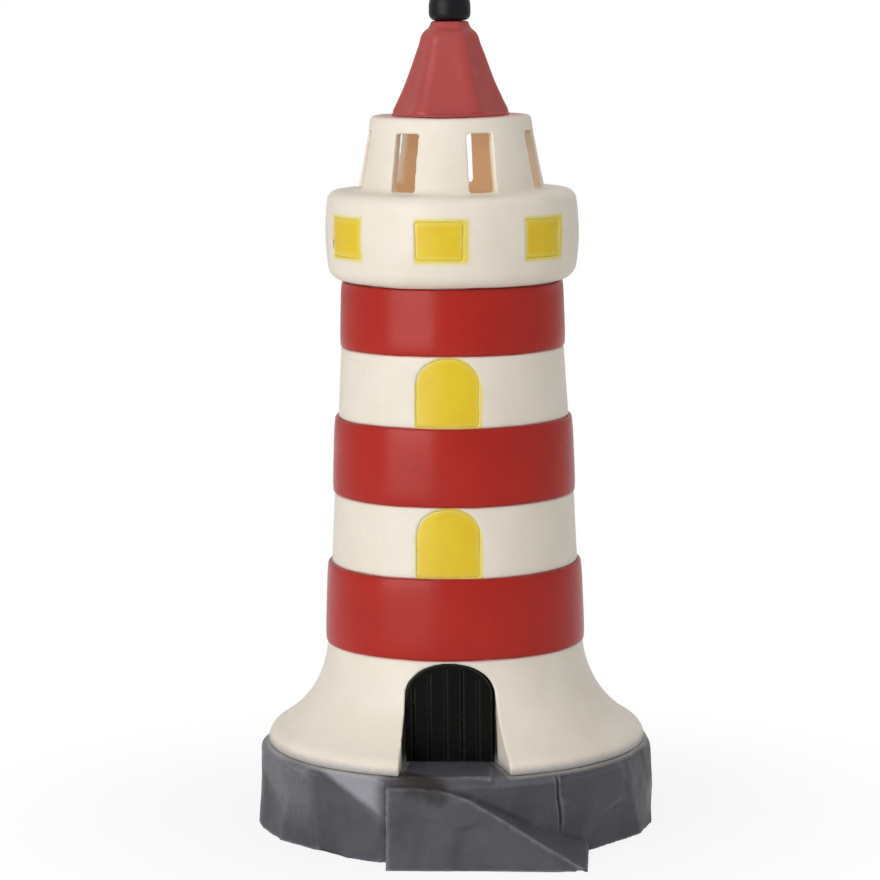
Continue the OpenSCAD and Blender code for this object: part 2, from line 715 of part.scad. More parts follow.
module base_plate() {
    color(black) difference() {
        union() {
            cylinder(r = plate_r, h = plate_t);
            cylinder(r = mouth_r + plug_lip, h = plug_lip_t);
            ring(plate_r, plate_r - rim_wall, 0, rim_h);
            translate([-tongue_w / 2, plate_r - rim_wall, 0])
                cube([tongue_w, tongue_end - plate_r + rim_wall, plate_t]);
            translate([-tongue_w / 2, tongue_end - rim_wall, 0])
                cube([tongue_w, rim_wall, cable_z + tongue_w / 2]);
        }
        translate([0, tongue_end + over, cable_z]) rotate([90, 0, 0])
            cylinder(r = bush_r + seat, h = rim_wall + 2 * over);
        // The cable's way in through the rim
        translate([-bush_r, plate_r - rim_wall - over, plate_t])
            cube([2 * bush_r, rim_wall + 2 * over, rim_h]);
        for (x = [-holder_screw_x, holder_screw_x]) translate([x, 0, -over]) {
            cylinder(r = screw_head_r + slip, h = screw_head_t + seat + over);
            cylinder(r = screw_r + slip, h = plate_t + 2 * over);
        }
    }
}

module cable_grommet() {
    length = rim_wall + 2 * seat;
    flange_r = bush_r + grommet_flange;
    color(black) translate([0, tongue_end + seat, cable_z]) rotate([90, 0, 0]) difference() {
        union() {
            cylinder(r = bush_r, h = length);
            translate([0, 0, -grommet_flange]) cylinder(r = flange_r, h = grommet_flange);
            translate([0, 0, length]) cylinder(r = flange_r, h = grommet_flange);
        }
        translate([0, 0, -grommet_flange - over])
            cylinder(r = cable_r, h = length + 2 * grommet_flange + 2 * over);
    }
}

module lamp_holder() {
    ledge = 1.5;
    color(white) difference() {
        union() {
            translate([0, 0, plate_t]) cylinder(r = holder_r, h = holder_h);
            translate([0, 0, plate_t]) cylinder(r = holder_foot_r, h = holder_foot_t);
            for (x = [-holder_screw_x, holder_screw_x])
                translate([x, 0, plate_t]) cylinder(r = screw_boss_r, h = screw_boss_z - plate_t);
        }
        translate([0, 0, insert_z]) cylinder(r = holder_bore, h = holder_h);
        translate([0, 0, plate_t - over]) cylinder(r = holder_bore - ledge, h = holder_h);
        translate([-slot_w / 2, 0, plate_t - over])
            cube([slot_w, holder_foot_r + over, slot_top - plate_t + over]);
        for (x = [-holder_screw_x, holder_screw_x])
            translate([x, 0, plate_t - over])
                cylinder(r = screw_r + seat, h = screw_boss_z - plate_t - screw_end_gap + 2 * over);
    }
}

module holder_insert() {
    color(white) difference() {
        translate([0, 0, insert_z]) cylinder(r = insert_r, h = insert_top - insert_z);
        translate([0, 0, contact_z]) cylinder(r = sleeve_out + seat, h = holder_h);
        for (x = [-lead_x, lead_x]) translate([x, 0, insert_z - over])
            cylinder(r = lead_r + seat, h = insert_floor + 2 * over);
    }
}

// A plain brass sleeve with a collar that lies on the insert
module thread_sleeve() {
    collar_w = 1.5;
    color(brass) {
        ring(sleeve_out, sleeve_r, sleeve_z, insert_top - sleeve_z + contact_t);
        ring(sleeve_out + collar_w, sleeve_r, insert_top, contact_t);
    }
}

// A springy strip: its foot lies over the live lead and its top meets the bulb's tip
module centre_contact() {
    half = tip_face_r;
    foot_end = lead_x + 1.8;
    top = contact_z + contact_rise;
    color(brass) translate([0, strip_w / 2, 0]) rotate([90, 0, 0]) linear_extrude(strip_w) polygon([
        [foot_end, contact_z], [foot_end, contact_z + contact_t],
        [half + contact_t, contact_z + contact_t], [half + contact_t, top + contact_t],
        [-half, top + contact_t], [-half, top], [half, top], [half, contact_z]]);
}

// A tab from the neutral lead to the sleeve's lower edge
module sleeve_contact() {
    edge = sleeve_out - contact_t - seat;
    foot_end = -lead_x + 1.2;
    color(brass) translate([0, strip_w / 2, 0]) rotate([90, 0, 0]) linear_extrude(strip_w) polygon([
        [foot_end, contact_z], [-edge, contact_z], [-edge, sleeve_z],
        [-edge + contact_t, sleeve_z], [-edge + contact_t, contact_z + contact_t],
        [foot_end, contact_z + contact_t]]);
}

module holder_screws() {
    cross = [1.2 * screw_head_r, 0.7, 1.6];
    color(steel) for (x = [-holder_screw_x, holder_screw_x]) translate([x, 0, seat]) difference() {
        union() {
            cylinder(r = screw_head_r, h = screw_head_t);
            cylinder(r = screw_r, h = screw_boss_z - screw_end_gap);
        }
        for (turn = [0, 90]) rotate([0, 0, turn]) cube(cross, center = true);
    }
}

module terminal_block() {
    color(white) difference() {
        translate([-terminal_size[0] / 2, terminal_y - terminal_size[1] / 2, plate_t]) cube(terminal_size);
        for (x = [-lead_x, lead_x]) translate([x, terminal_y, 0]) {
            translate([0, 0, lead_z]) rotate([90, 0, 0])
                cylinder(r = lead_r + slip, h = terminal_size[1] + 2 * over, center = true);
            translate([0, 0, lead_z]) cylinder(r = screw_r + seat + slip, h = terminal_size[2]);
        }
    }
}

module terminal_screws() {
    driver_slot = [4, 0.6, 1.2];
    color(steel) for (x = [-lead_x, lead_x]) translate([x, terminal_y, lead_z + lead_r]) difference() {
        cylinder(r = screw_r + slip, h = clamp_screw_h);
        translate([0, 0, clamp_screw_h]) cube(driver_slot, center = true);
    }
}

// A lead: straight in from the terminal block, then up through the insert's floor
module lead(x) {
    translate([x, 0, 0]) {
        translate([0, terminal_y, lead_z]) rotate([90, 0, 0])
            cylinder(r = lead_r, h = terminal_y - lead_bend);
        translate([0, lead_bend, lead_z + lead_bend]) rotate([90, 0, -90]) rotate([0, 0, 270])
            rotate_extrude(angle = 90) translate([lead_bend, 0]) circle(lead_r);
        translate([0, 0, lead_z + lead_bend]) cylinder(r = lead_r, h = contact_z - lead_z - lead_bend);
    }
}

module live_lead() { color(live_brown) lead(lead_x); }
module neutral_lead() { color(neutral_blue) lead(-lead_x); }

module bulb_cap() {
    plain_end = 0.8;
    turns = floor((cap_h - 3 * plain_end) / cap_pitch);
    thread = [for (i = [0 : turns * 6])
        [cap_r - cap_thread * (1 + cos(60 * i)) / 2, cap_z + plain_end + i * cap_pitch / 6]];
    color(steel) rotate_extrude() polygon(concat(
        [[cap_in, cap_z], [cap_r - cap_thread, cap_z]], thread,
        [[cap_r - cap_thread, cap_top], [cap_in, cap_top]]));
}

module bulb_insulator() {
    face_r = tip_r + 0.8;
    color(black) rotate_extrude() polygon([[0, insulator_z], [face_r, insulator_z],
        [cap_r - cap_thread, cap_z], [cap_in - seat, cap_z], [cap_in - seat, cap_z + cap_plug],
        [0, cap_z + cap_plug]]);
}

module bulb_tip() {
    color(steel) translate([0, 0, tip_z]) cylinder(r1 = tip_face_r, r2 = tip_r, h = tip_h);
}

module bulb_housing() {
    neck_out = cap_r + 0.5;
    collar_top = cap_top + neck_collar;
    flare = 1.5;
    curve = [for (i = [0 : 8]) let (t = i / 8)
        [neck_out + (housing_r - neck_out) * pow(t, flare), collar_top + (housing_z - collar_top) * t]];
    color(white) difference() {
        rotate_extrude() polygon(concat(
            [[0, cap_top - neck_plug], [cap_in - seat, cap_top - neck_plug], [cap_in - seat, cap_top],
             [neck_out, cap_top]], curve, [[0, housing_z]]));
        translate([0, 0, housing_z - board_t]) cylinder(r = board_r + seat, h = board_t + over);
    }
}

module led_board() {
    chips = 8;
    chip_w = 2.8;
    chip_h = 0.7;
    chip_share = 0.62;
    chip_ring = board_r * chip_share;
    color(white) translate([0, 0, housing_z - board_t]) {
        cylinder(r = board_r, h = board_t);
        for (i = [0 : chips - 1]) rotate([0, 0, i * 360 / chips])
            translate([chip_ring, -chip_w / 2, 0]) cube([chip_w, chip_w, board_t + chip_h]);
    }
}

module bulb_dome() {
    inner = bulb_r - dome_wall;
    low = asin((globe_z - housing_z) / inner);
    color(white) rotate_extrude() polygon(concat(
        arc(0, globe_z, bulb_r, -rim_angle, 90, 20), arc(0, globe_z, inner, 90, -low, 20)));
}

rock_plinth();
tower_shell();
band_lower();
band_middle();
band_upper();
door();
window_lower();
window_upper();
gallery_lantern();
gallery_panes();
roof();
knob();
base_plate();
cable_grommet();
lamp_holder();
holder_insert();
thread_sleeve();
centre_contact();
sleeve_contact();
holder_screws();
terminal_block();
terminal_screws();
live_lead();
neutral_lead();
bulb_cap();
bulb_insulator();
bulb_tip();
bulb_housing();
led_board();
bulb_dome();
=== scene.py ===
# %% [markdown]
# # A lighthouse night light
# The light is a hollow tower of soft vinyl, cast in a mould and painted by hand. A rock
# plinth carries the tower, and a small screw bulb stands inside it on a round base plug.
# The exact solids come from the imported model, and this lesson dresses them: it rounds the
# moulded edges, adds the painter's unevenness, and gives every surface its finish.

# %% Load the fixed frame
import json
import math

import bmesh
import bpy
import numpy as np
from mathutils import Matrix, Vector, noise
from mathutils.bvhtree import BVHTree
from mathutils.kdtree import KDTree


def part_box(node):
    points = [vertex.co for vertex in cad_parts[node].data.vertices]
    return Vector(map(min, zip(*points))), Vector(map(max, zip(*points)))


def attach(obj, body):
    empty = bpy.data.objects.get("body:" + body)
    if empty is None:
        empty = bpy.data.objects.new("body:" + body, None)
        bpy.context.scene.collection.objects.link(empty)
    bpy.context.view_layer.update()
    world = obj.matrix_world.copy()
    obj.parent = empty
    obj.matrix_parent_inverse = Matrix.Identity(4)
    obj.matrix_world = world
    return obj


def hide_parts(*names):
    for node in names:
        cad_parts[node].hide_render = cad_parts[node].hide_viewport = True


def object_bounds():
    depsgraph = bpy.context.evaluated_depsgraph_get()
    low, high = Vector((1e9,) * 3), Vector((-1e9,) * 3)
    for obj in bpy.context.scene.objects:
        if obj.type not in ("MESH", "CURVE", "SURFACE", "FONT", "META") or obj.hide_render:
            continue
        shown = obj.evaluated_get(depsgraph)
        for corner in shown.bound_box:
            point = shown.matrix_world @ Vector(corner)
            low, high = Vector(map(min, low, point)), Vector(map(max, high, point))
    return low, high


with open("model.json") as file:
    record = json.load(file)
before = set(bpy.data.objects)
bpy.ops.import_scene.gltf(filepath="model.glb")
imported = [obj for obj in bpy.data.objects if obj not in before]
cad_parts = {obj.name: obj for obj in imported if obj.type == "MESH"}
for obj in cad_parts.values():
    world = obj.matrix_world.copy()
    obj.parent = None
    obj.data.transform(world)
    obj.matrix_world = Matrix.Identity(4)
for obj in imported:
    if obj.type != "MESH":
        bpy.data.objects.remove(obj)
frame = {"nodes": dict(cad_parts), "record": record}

MM = 0.001
cad_low, cad_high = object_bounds()
print("CAD box in mm:", [round((b - a) / MM, 1) for a, b in zip(cad_low, cad_high)])

# %% [markdown]
# ## The camera
# A photographer stands back from a small thing like this and uses a long lens, so that the
# sides of the tower stay almost upright. The camera looks down a little: the bands curve
# downwards, and the curve grows towards the foot. Its place was worked out from that curve.

# %% Set the camera
CAMERA_DISTANCE = 1.260              # metres from the tower's axis
CAMERA_HEIGHT = 0.315
CAMERA_TURN = math.radians(3.0)      # to the right of the door
CAMERA_TILT = math.radians(7.87)     # downwards
CAMERA_ROLL = math.radians(0.55)     # the tower leans a hair to the left in the picture
AXIS_OFFSET = math.radians(0.15)     # the tower stands a little right of the middle
LENS_MM = 142.2

camera_data = bpy.data.cameras.new("photo_camera")
camera_data.sensor_width = 36.0
camera_data.lens = LENS_MM
camera = bpy.data.objects.new("photo_camera", camera_data)
camera.location = (CAMERA_DISTANCE * math.sin(CAMERA_TURN),
                   -CAMERA_DISTANCE * math.cos(CAMERA_TURN), CAMERA_HEIGHT)
camera.rotation_euler = (math.pi / 2 - CAMERA_TILT, CAMERA_ROLL, CAMERA_TURN + AXIS_OFFSET)
bpy.context.scene.collection.objects.link(camera)
bpy.context.scene.camera = camera
print("camera at", tuple(round(x, 3) for x in camera.location))

# %% [markdown]
# ## Colours and nodes
# Colours are written as the sRGB hex values that a paint chart gives. Blender's sockets
# want linear light, so one function turns the first into the second. Another adds a shader
# node with its settings and links, which keeps each material to a few lines.

# %% Two helpers for every material
def linear(hex_colour):
    """An sRGB hex colour as linear red, green, blue and alpha."""
    parts = [int(hex_colour[i:i + 2], 16) / 255 for i in (1, 3, 5)]
    return [p / 12.92 if p <= 0.04045 else ((p + 0.055) / 1.055) ** 2.4 for p in parts] + [1.0]


def add(tree, kind, sockets=None, **settings):
    """Adds a node. A socket takes a number, a hex colour, a vector or another node's output."""
    node = tree.nodes.new(kind)
    for name, value in settings.items():
        setattr(node, name, value)
    for name, value in (sockets or {}).items():
        if isinstance(value, bpy.types.NodeSocket):
            tree.links.new(value, node.inputs[name])
        else:
            node.inputs[name].default_value = linear(value) if isinstance(value, str) else value
    return node


def blank(name):
    """A new material: its node tree, its Principled shader, and the object's own coordinates."""
    material = bpy.data.materials.new(name)
    material.use_nodes = True
    tree = material.node_tree
    place = add(tree, "ShaderNodeTexCoord").outputs["Object"]
    return material, tree, tree.nodes["Principled BSDF"], place


def per_mm(size):
    """The texture scale at which a pattern repeats about every size millimetres."""
    return 1 / (size * MM)


print("ivory in linear light:", [round(x, 3) for x in linear("#EFE6D8")])

# %% [markdown]
# ## Soft vinyl
# The shells are rotocast PVC, a soft vinyl that sets inside a heated, turning mould, and
# each colour is sprayed on through a mask. The skin is satin and slightly greasy: a gloss
# paint would show sharp reflections and a chalk paint none, so the roughness lies near 0.45.
# Yellow and black are smoother, near 0.33, and the red enamel of the bands is the smoothest,
# near 0.23, so that it shows the softbox as a patch. Light goes a little way into the vinyl,
# which is what Subsurface does. The lantern's inside gives off a faint painted light of its
# own, for the daylight that comes through its thin wall. Three things keep it from looking
# like plastic from a computer: broad patches where the paint is thicker, an orange peel of
# half a millimetre, and a spray that feathers out past its mask. The feathering follows a mark
# that the mesh carries, from 1 on the painted piece to 0. An edge tone lightens an edge. On
# the bands and the roof it is worn paint, and on the rock and the door it is a painted
# highlight. A corner tone darkens a corner with painted shade. Pointiness tells them apart:
# it is 0.5 on a flat, more on an edge and less in a corner.

# %% The vinyl function
RAGGED = 0.25       # how far the speckle frays the edge of a spray
PAINTED_GLOW = 0.2          # strength of the painted light that the lantern's inside gives off


def soft_vinyl(name, colour, deep, roughness=0.45, gloss=0.5, patch_mm=14.0, patch=0.5,
               sprays=(), edge=None, edge_share=0.5, corner=None, corner_share=0.5,
               depth=0.0, depth_mm=3.0, streak_mm=None, painted_glow=None):
    """Painted soft vinyl. deep is the colour of the thicker paint.

    Each of the sprays is a mark, its colour and its share. glow is a mark too: where it is 1
    the surface gives off a painted light of its own, for the daylight through the wall.
    """
    material, tree, shader, place = blank(name)
    patches = add(tree, "ShaderNodeTexNoise",
                  {"Vector": place, "Scale": per_mm(patch_mm), "Detail": 5.0, "Roughness": 0.55})
    thick = add(tree, "ShaderNodeMapRange",
                {"Value": patches.outputs["Fac"], "From Min": 0.38, "From Max": 0.72,
                 "To Max": patch})
    paint = add(tree, "ShaderNodeMix", {"Factor": thick.outputs["Result"], "A": colour, "B": deep},
                data_type="RGBA").outputs["Result"]
    point = add(tree, "ShaderNodeNewGeometry").outputs["Pointiness"]
    speckle = add(tree, "ShaderNodeTexNoise", {"Vector": place, "Scale": per_mm(1.6), "Detail": 4.0})
    # edge lightens an edge, as worn paint on the bands and the roof and as a painted highlight on the
    # rock and the door; corner darkens a corner with painted shade
    bends = ((edge, edge_share, 0.505, 0.545), (corner, corner_share, 0.495, 0.455))
    for tone, share, first, last in bends:
        if tone:
            bend = add(tree, "ShaderNodeMapRange",
                       {"Value": point, "From Min": first, "From Max": last, "To Max": share})
            worn = add(tree, "ShaderNodeMath",
                       {0: bend.outputs["Result"], 1: speckle.outputs["Fac"]},
                       operation="MULTIPLY")
            worn = add(tree, "ShaderNodeMath", {0: worn.outputs[0], 1: 2.0},
                       operation="MULTIPLY", use_clamp=True)
            paint = add(tree, "ShaderNodeMix", {"Factor": worn.outputs[0], "A": paint, "B": tone},
                        data_type="RGBA").outputs["Result"]
    for mark, tone, share in sprays:
        reach = add(tree, "ShaderNodeAttribute", attribute_name=mark)
        ragged = add(tree, "ShaderNodeMath",
                     {0: speckle.outputs["Fac"], 1: RAGGED, 2: reach.outputs["Fac"]},
                     operation="MULTIPLY_ADD")
        fog = add(tree, "ShaderNodeMapRange",
                  {"Value": ragged.outputs[0], "From Min": 0.15, "From Max": 1.05, "To Max": share},
                  interpolation_type="SMOOTHSTEP")
        paint = add(tree, "ShaderNodeMix", {"Factor": fog.outputs["Result"], "A": paint, "B": tone},
                    data_type="RGBA").outputs["Result"]
    tree.links.new(paint, shader.inputs["Base Color"])
    sheen = add(tree, "ShaderNodeMapRange",
                {"Value": patches.outputs["Fac"], "From Min": 0.3, "From Max": 0.7,
                 "To Min": roughness - 0.05, "To Max": roughness + 0.07})
    tree.links.new(sheen.outputs["Result"], shader.inputs["Roughness"])
    shader.inputs["Specular IOR Level"].default_value = gloss
    peel = add(tree, "ShaderNodeTexNoise", {"Vector": place, "Scale": per_mm(0.5), "Detail": 3.0})
    bump = add(tree, "ShaderNodeBump",
               {"Height": peel.outputs["Fac"], "Distance": 0.1 * MM, "Strength": 0.25})
    if streak_mm:
        flat = add(tree, "ShaderNodeMapping", {"Vector": place, "Scale": (0.12, 0.12, 1.0)})
        drag = add(tree, "ShaderNodeTexNoise",
                   {"Vector": flat.outputs[0], "Scale": per_mm(streak_mm), "Detail": 3.0})
        bump = add(tree, "ShaderNodeBump",
                   {"Height": drag.outputs["Fac"], "Distance": 0.12 * MM, "Strength": 0.35,
                    "Normal": bump.outputs["Normal"]})
    tree.links.new(bump.outputs["Normal"], shader.inputs["Normal"])
    if depth:
        shader.inputs["Subsurface Weight"].default_value = depth
        shader.inputs["Subsurface Radius"].default_value = (1.0, 0.6, 0.35)
        shader.inputs["Subsurface Scale"].default_value = depth_mm * MM
    # Painted light: where the mark is 1 the surface gives off a warm light of its own, for the
    # daylight through the thin wall.
    if painted_glow:
        thin = add(tree, "ShaderNodeAttribute", attribute_name=painted_glow)
        light = add(tree, "ShaderNodeMath", {0: thin.outputs["Fac"], 1: PAINTED_GLOW},
                    operation="MULTIPLY", use_clamp=True)
        shader.inputs["Emission Color"].default_value = linear("#FFE2B4")
        tree.links.new(light.outputs[0], shader.inputs["Emission Strength"])
    return material

# %% [markdown]
# Each paint is the same vinyl in another colour. The ivory takes the overspray of its
# neighbours, and the door's black as painted shade on the doorway's cheeks. The lantern has
# an ivory of its own, since its inside is bare and gives off a painted light of its own. A
# brush left streaks in both reds. The rock's ridges carry a painted highlight and its corners
# painted shade, the door's plank edges carry a painted highlight, and the corners of the
# ivory and the reds are darkened with painted shade too.

# %% One vinyl for each colour
# the corner tone of both ivories is painted shade
ivory_vinyl = soft_vinyl("ivory_vinyl", "#EFE6D8", "#E6DAC8", depth=0.15, corner="#B9A78E",
                         sprays=[("doorway_shade", "#14100C", 0.97), ("yellow_spray", "#E6D23F", 0.95),
                                 ("red_spray", "#C8504A", 0.55), ("rock_spray", "#9B999A", 0.9)])
# the lantern's inside carries the raw tan and gives off a painted light of its own
lantern_vinyl = soft_vinyl("lantern_vinyl", "#EFE6D8", "#E6DAC8", depth=0.15, corner="#B9A78E",
                           painted_glow="inside", sprays=[("yellow_spray", "#E6D23F", 0.95),
                                                  ("red_spray", "#C8504A", 0.55),
                                                  ("roof_spray", "#D99A8E", 0.75),
                                                  ("inside", "#DDB68E", 1.0)])
raw_vinyl = soft_vinyl("raw_vinyl", "#E2BC92", "#D6AC80", roughness=0.55, depth=0.5, depth_mm=5.0)
# the corner tone of the red is painted shade; its edge tone is worn enamel
red_vinyl = soft_vinyl("red_vinyl", "#B3261C", "#A01D17", roughness=0.23, gloss=0.25, patch_mm=22.0,
                       edge="#C9534C", edge_share=0.35, corner="#7C1C1B", streak_mm=1.8)
roof_vinyl = soft_vinyl("roof_vinyl", "#AE3F3B", "#9F3836", roughness=0.4, gloss=0.55,
                        edge="#C4645C", edge_share=0.4, streak_mm=3.0)
yellow_vinyl = soft_vinyl("yellow_vinyl", "#E8C82A", "#DEB628", roughness=0.33, gloss=0.35,
                          patch_mm=9.0, sprays=[("rim", "#E6D25C", 0.75), ("bare", "#E9E2C4", 0.9)])
# on the rock the edge tone is a painted highlight and the corner tone is painted shade
rock_vinyl = soft_vinyl("rock_vinyl", "#515258", "#3D3E42", roughness=0.45, gloss=0.3,
                        patch_mm=18.0, patch=0.7, edge="#8D8E95", edge_share=0.5,
                        corner="#1F1F22", corner_share=0.9,
                        sprays=[("painted_highlight", "#9C9CA4", 0.85), ("ivory_spray", "#B5AEA3", 0.55),
                                ("doorway_shade", "#241912", 0.85)])
# the door's grey-green edge tone is a painted highlight along the planks
door_vinyl = soft_vinyl("door_vinyl", "#070605", "#100E0C", roughness=0.34, gloss=0.1,
                        edge="#33362F", edge_share=0.8)
knob_vinyl = soft_vinyl("knob_vinyl", "#101215", "#0A0C0E", roughness=0.34, gloss=0.22)
print("vinyl materials:", len(bpy.data.materials))

# %% [markdown]
# ## Plastics, rubber and metals
# What stands inside is bought, not painted: injection-moulded ABS, a rubber bush, pressed
# brass and plated steel. Their mould or die was spark-eroded, which leaves a fine even grain.
# On the real ones it is a tenth of a millimetre; here it is drawn at 0.5 to 1.2 mm so that
# it shows. A metal's colour is its reflection, so it is brighter than a paint.

# %% Bought parts
def plain_moulding(name, colour, deep, roughness, grain_mm=0.5, metallic=0.0, depth=0.0):
    """A moulded or pressed surface with a fine even grain."""
    material, tree, shader, place = blank(name)
    grain = add(tree, "ShaderNodeTexNoise",
                {"Vector": place, "Scale": per_mm(grain_mm), "Detail": 2.0})
    broad = add(tree, "ShaderNodeTexNoise", {"Vector": place, "Scale": per_mm(9.0), "Detail": 3.0})
    tone = add(tree, "ShaderNodeMath", {0: grain.outputs["Fac"], 1: broad.outputs["Fac"]},
               operation="MULTIPLY")
    tone = add(tree, "ShaderNodeMath", {0: tone.outputs[0], 1: 2.0},
               operation="MULTIPLY", use_clamp=True)
    paint = add(tree, "ShaderNodeMix", {"Factor": tone.outputs[0], "A": colour, "B": deep},
                data_type="RGBA")
    bump = add(tree, "ShaderNodeBump",
               {"Height": grain.outputs["Fac"], "Distance": 0.1 * MM, "Strength": 0.3})
    tree.links.new(paint.outputs["Result"], shader.inputs["Base Color"])
    tree.links.new(bump.outputs["Normal"], shader.inputs["Normal"])
    shader.inputs["Roughness"].default_value = roughness
    shader.inputs["Metallic"].default_value = metallic
    shader.inputs["Subsurface Weight"].default_value = depth
    shader.inputs["Subsurface Scale"].default_value = 2 * MM
    return material


plug_plastic = plain_moulding("plug_plastic", "#1D1D1F", "#29292C", 0.55)
grommet_rubber = plain_moulding("grommet_rubber", "#141414", "#202020", 0.8)
holder_plastic = plain_moulding("holder_plastic", "#EAE8E2", "#DEDBD2", 0.4, depth=0.1)
terminal_plastic = plain_moulding("terminal_plastic", "#E2E0DA", "#D3D0C6", 0.45, depth=0.1)
contact_brass = plain_moulding("contact_brass", "#C9A85A", "#A88A42", 0.3, grain_mm=0.8, metallic=1.0)
screw_steel = plain_moulding("screw_steel", "#BDC0C3", "#9DA0A3", 0.33, grain_mm=0.8, metallic=1.0)
cap_nickel = plain_moulding("cap_nickel", "#C6C3BC", "#A6A39C", 0.26, grain_mm=1.2, metallic=1.0)
live_sleeve = plain_moulding("live_sleeve", "#7C4B2B", "#633A20", 0.45)
neutral_sleeve = plain_moulding("neutral_sleeve", "#2F5F9A", "#274F82", 0.45)
insulator_glass = plain_moulding("insulator_glass", "#101012", "#1C1C20", 0.15)
bulb_plastic = plain_moulding("bulb_plastic", "#F0EFEC", "#E5E4E0", 0.25, depth=0.1)
opal_dome = plain_moulding("opal_dome", "#F3F2EE", "#EAE9E4", 0.32, depth=0.5)
print("all materials:", len(bpy.data.materials))

# %% [markdown]
# ## The light chips
# The board is white lacquer over aluminium, and each chip on it is a drop of yellow phosphor
# in a white cup. They are one solid in the model, so the height above the board tells the
# material where a chip begins.

# %% Board and chips
board_material, tree, shader, place = blank("board_white")
BOARD_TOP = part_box("led_board")[1].z - 0.6 * MM
height = add(tree, "ShaderNodeSeparateXYZ", {"Vector": place}).outputs["Z"]
on_chip = add(tree, "ShaderNodeMath", {0: height, 1: BOARD_TOP}, operation="GREATER_THAN")
dots = add(tree, "ShaderNodeTexNoise", {"Vector": place, "Scale": per_mm(0.6), "Detail": 3.0})
phosphor = add(tree, "ShaderNodeMix",
               {"Factor": dots.outputs["Fac"], "A": "#E9C848", "B": "#D9B02F"}, data_type="RGBA")
lacquer = add(tree, "ShaderNodeMix",
              {"Factor": dots.outputs["Fac"], "A": "#ECECE8", "B": "#DCDCD6"}, data_type="RGBA")
board_paint = add(tree, "ShaderNodeMix",
                  {"Factor": on_chip.outputs[0], "A": lacquer.outputs["Result"],
                   "B": phosphor.outputs["Result"]}, data_type="RGBA")
tree.links.new(board_paint.outputs["Result"], shader.inputs["Base Color"])
shader.inputs["Roughness"].default_value = 0.4
print("chips start at mm:", round(BOARD_TOP / MM, 2))

# %% [markdown]
# ## Dress the CAD pieces
# Every node first gets its finish, so that nothing shows undressed while the fine pieces are
# still to come.

# %% One finish for each node
FINISHES = {
    "rock_plinth": rock_vinyl, "tower_shell": ivory_vinyl, "band_lower": red_vinyl,
    "band_middle": red_vinyl, "band_upper": red_vinyl, "door": door_vinyl,
    "window_lower": yellow_vinyl, "window_upper": yellow_vinyl, "gallery_lantern": lantern_vinyl,
    "gallery_panes": yellow_vinyl, "roof": roof_vinyl, "knob": knob_vinyl,
    "base_plate": plug_plastic, "cable_grommet": grommet_rubber, "lamp_holder": holder_plastic,
    "holder_insert": holder_plastic, "thread_sleeve": contact_brass,
    "centre_contact": contact_brass, "sleeve_contact": contact_brass,
    "holder_screws": screw_steel, "terminal_block": terminal_plastic,
    "terminal_screws": screw_steel, "live_lead": live_sleeve, "neutral_lead": neutral_sleeve,
    "bulb_cap": cap_nickel, "bulb_insulator": insulator_glass, "bulb_tip": cap_nickel,
    "bulb_housing": bulb_plastic, "led_board": board_material, "bulb_dome": opal_dome}
BODY_OF = {node: body for body, nodes in frame["record"]["behaviour"]["bodies"].items()
           for node in nodes}
for node, finish in FINISHES.items():
    mesh = frame["nodes"][node].data
    mesh.materials.clear()
    mesh.materials.append(finish)

# %% [markdown]
# A moulded or pressed part has no knife edge either. On the bought parts a narrow bevel is
# enough, and it catches the light as the real edge does. The bevel is a modifier, so the
# solid's own mesh stays as it is.

# %% Break the sharp edges of the bought parts
BEVEL_MM = {"base_plate": 0.35, "cable_grommet": 0.3, "lamp_holder": 0.3, "holder_insert": 0.2,
            "thread_sleeve": 0.08, "holder_screws": 0.15, "terminal_block": 0.3,
            "terminal_screws": 0.1, "bulb_housing": 0.2, "bulb_tip": 0.2}
for node, width in BEVEL_MM.items():
    bevel = frame["nodes"][node].modifiers.new("broken_edge", "BEVEL")
    bevel.width = width * MM
    bevel.segments = 2
    bevel.limit_method = "ANGLE"
    bevel.angle_limit = math.radians(35)
    bevel.use_clamp_overlap = True
print("bevelled nodes:", len(BEVEL_MM))

# %% [markdown]
# ## Round the moulded edges
# A mould has no sharp inside corner, so cast vinyl has no sharp edge. Bevelling each edge
# by hand would take long on arches and tapers. Here the solid is rebuilt from small cubes,
# which the voxel remesh does, and then smoothed, so that every edge turns soft alike. Noise
# then moves the skin a tenth of a millimetre or so, as the modeller's thumbs did, and a
# decimation takes away the faces that flat stretches don't need.

# %% The soft skin of a solid
def stand_in(piece, node):
    """Lets a piece ride on its node's body and stand for the node."""
    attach(piece, BODY_OF[node])
    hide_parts(node)
    return piece


def baked(piece):
    """Turns a piece's modifiers into its own mesh."""
    graph = bpy.context.evaluated_depsgraph_get()
    mesh = bpy.data.meshes.new_from_object(piece.evaluated_get(graph))
    piece.modifiers.clear()
    piece.data = mesh
    return mesh


def vertex_rows(mesh, what="co"):
    """The points or normals of a mesh as rows of three numbers."""
    flat = np.empty(len(mesh.vertices) * 3)
    mesh.vertices.foreach_get(what, flat)
    return flat.reshape(-1, 3)


